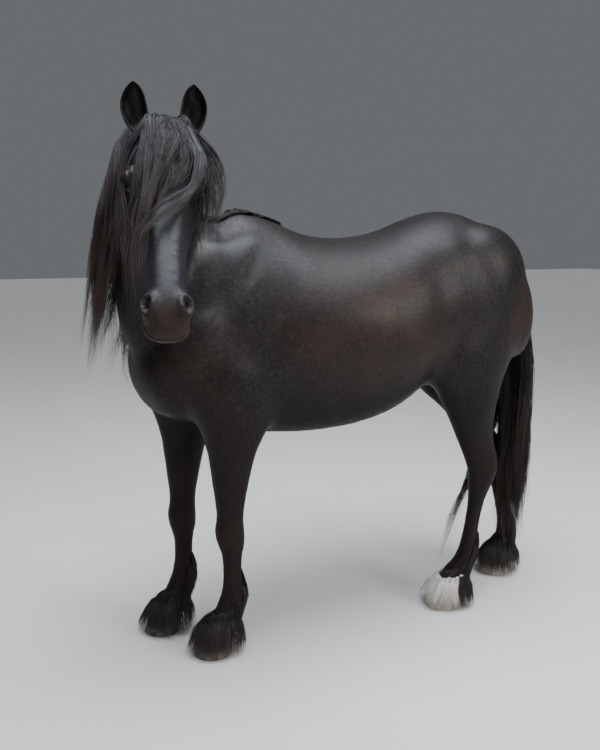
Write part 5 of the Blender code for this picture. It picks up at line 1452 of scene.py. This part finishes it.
def main():
    """Builds every piece, then the floor, the lights and the camera."""
    rng = np.random.default_rng(7)
    body = skin()
    tree = tree_of(body)
    hide = coat_material()
    tufts = tuft_material()
    paths, outs = short_coat(body, 48000, rng)
    ears = joined([ear_cup(1), ear_cup(-1)])
    ear_skin = mesh_of("ears", ears[0], ears[1])
    flesh = [name for name in frame["nodes"] if name.split("_")[0] in ("head", "neck", "torso", "foreleg", "hindleg")]
    flesh += [name for name in frame["nodes"] if "cannon" in name or name.startswith("ear_")]
    work = bmesh.new()
    work.from_mesh(body.data)
    work.from_mesh(ear_skin.data)
    work.to_mesh(body.data)
    work.free()
    bpy.data.objects.remove(ear_skin)
    moved(body.data, points_of(body.data) + SHIFT)
    body.data.polygons.foreach_set("use_smooth", np.ones(len(body.data.polygons), bool))
    finished(body, hide, "hide", flesh)
    hair("coat_tufts", paths, outs, 0.0007, tufts, "hide", thick=0.10, tone=rng.uniform(0, 1, len(paths)), smooth=False)
    mane = hair_material("mane_hair", MANE_DARK, MANE_LIGHT, MANE_TIP, 0.75, 0.40)
    count = 42
    paths, outs, tone = strands_of(mane_guides(tree, rng), count, rng, 0.020, 0.007, (0.55, 1.0), 0.009, 12)
    hair("mane", pushed_clear(paths, tree, 0.002), outs, 0.0011, mane, "hair", tone=tone)
    dark_mane = hair_material("crest_hair", MANE_DARK, (0.018, 0.014, 0.015), (0.026, 0.018, 0.016), 0.5, 0.46)
    paths, outs, tone = strands_of(crest_guides(tree, rng), count, rng, 0.024, 0.006, (0.6, 1.0), 0.001, 7)
    hair("crest", pushed_clear(paths, tree, 0.002), outs, 0.0011, dark_mane, "hair", tone=tone)
    front = hair_material("forelock_hair", MANE_DARK, FORELOCK_LIGHT, MANE_TIP, 0.5, 0.38)
    paths, outs, tone = strands_of(forelock_guides(tree, rng), count, rng, 0.010, 0.005, (0.62, 1.0), 0.006, 12)
    hair("forelock", pushed_clear(paths, tree, 0.002), outs, 0.0010, front, "hair", tone=tone)
    tail = hair_material("tail_hair", (0.0130, 0.0102, 0.0098), (0.048, 0.036, 0.034), (0.058, 0.036, 0.026), 0.6, 0.40)
    paths, outs, tone = strands_of(tail_guides(tree, rng), count + 6, rng, 0.020, 0.010, (0.72, 1.0), 0.010, 13)
    hair("tail_hair", paths, outs, 0.0012, tail, "hair", tone=tone, replaced=("tail",))
    y, z, thick, wide = (np.array(TAIL_CORE) * (1, 1, 0.8, 0.8)).T
    dock = loft(np.stack([0 * y, y, z], 1), (1, 0, 0), (0, 1, 0), wide, thick, thick, 1, 1, 20)
    finished(mesh_of("tail_dock", dock[0] + SHIFT, dock[1]), tail, "hair")
    legs_hair(tree, rng)
    wet = eye_material()
    for side, word in ((1, "left"), (-1, "right")):
        points, faces, ring = eyeball(side)
        finished(mesh_of(f"eyeball_{word}", points + SHIFT, faces, None, {"ring": ring}), wet, "eye", (f"eye_{word}",))
    dark = hoof_material("dark_horn", (0.060, 0.050, 0.045), (0.020, 0.017, 0.016), (0.20, 0.165, 0.13))
    pale = hoof_material("pale_horn", (0.46, 0.42, 0.37), (0.26, 0.23, 0.20), (0.36, 0.31, 0.25))
    for foot in LEGS:
        points, faces = hoof(foot)
        light = foot.startswith("hind")
        name = foot.replace("_", "_hoof_")
        finished(mesh_of("horn_" + foot, points + SHIFT, faces), pale if light else dark, "horn_pale" if foot == "hind_left" else "horn", (name,))
    stage()


def stage():
    """The floor, soft lights from above and both sides, and the camera of the photograph's view."""
    floor = mesh_of("floor", np.array([(-30, -30, 0), (30, -30, 0), (30, 30, 0), (-30, 30, 0)], float), [np.array([[0, 1, 2, 3]])])
    floor.data.materials.append(floor_material())
    world = bpy.data.worlds.new("studio")
    world.use_nodes = True
    world.node_tree.nodes["Background"].inputs["Color"].default_value = (0.80, 0.84, 0.90, 1)
    world.node_tree.nodes["Background"].inputs["Strength"].default_value = 0.18
    bpy.context.scene.world = world
    for name, place, aim, size, power, colour in LIGHTS:
        lamp = bpy.data.lights.new(name, "SUN" if name == "sky" else "AREA")
        lamp.energy, lamp.color = power, colour
        if lamp.type == "SUN":
            lamp.angle = math.radians(size)
        else:
            lamp.shape, lamp.size = "DISK", size
        obj = bpy.data.objects.new(name, lamp)
        bpy.context.scene.collection.objects.link(obj)
        obj.location = place
        obj.rotation_euler = (Vector(aim) - Vector(place)).to_track_quat("-Z", "Y").to_euler()
    camera = bpy.data.cameras.new("camera")
    camera.sensor_fit, camera.sensor_height, camera.lens = "VERTICAL", 24.0, 25.6
    obj = bpy.data.objects.new("camera", camera)
    bpy.context.scene.collection.objects.link(obj)
    obj.location = Vector(CAMERA_PLACE) + Vector(SHIFT)
    pitch = math.radians(CAMERA_DOWN)
    ahead = Vector((-math.sin(math.radians(CAMERA_HEADING)), math.cos(math.radians(CAMERA_HEADING)), 0)) * math.cos(pitch)
    obj.rotation_euler = (ahead - Vector((0, 0, math.sin(pitch)))).to_track_quat("-Z", "Y").to_euler()
    bpy.context.scene.camera = obj


main()
bpy.context.view_layer.update()
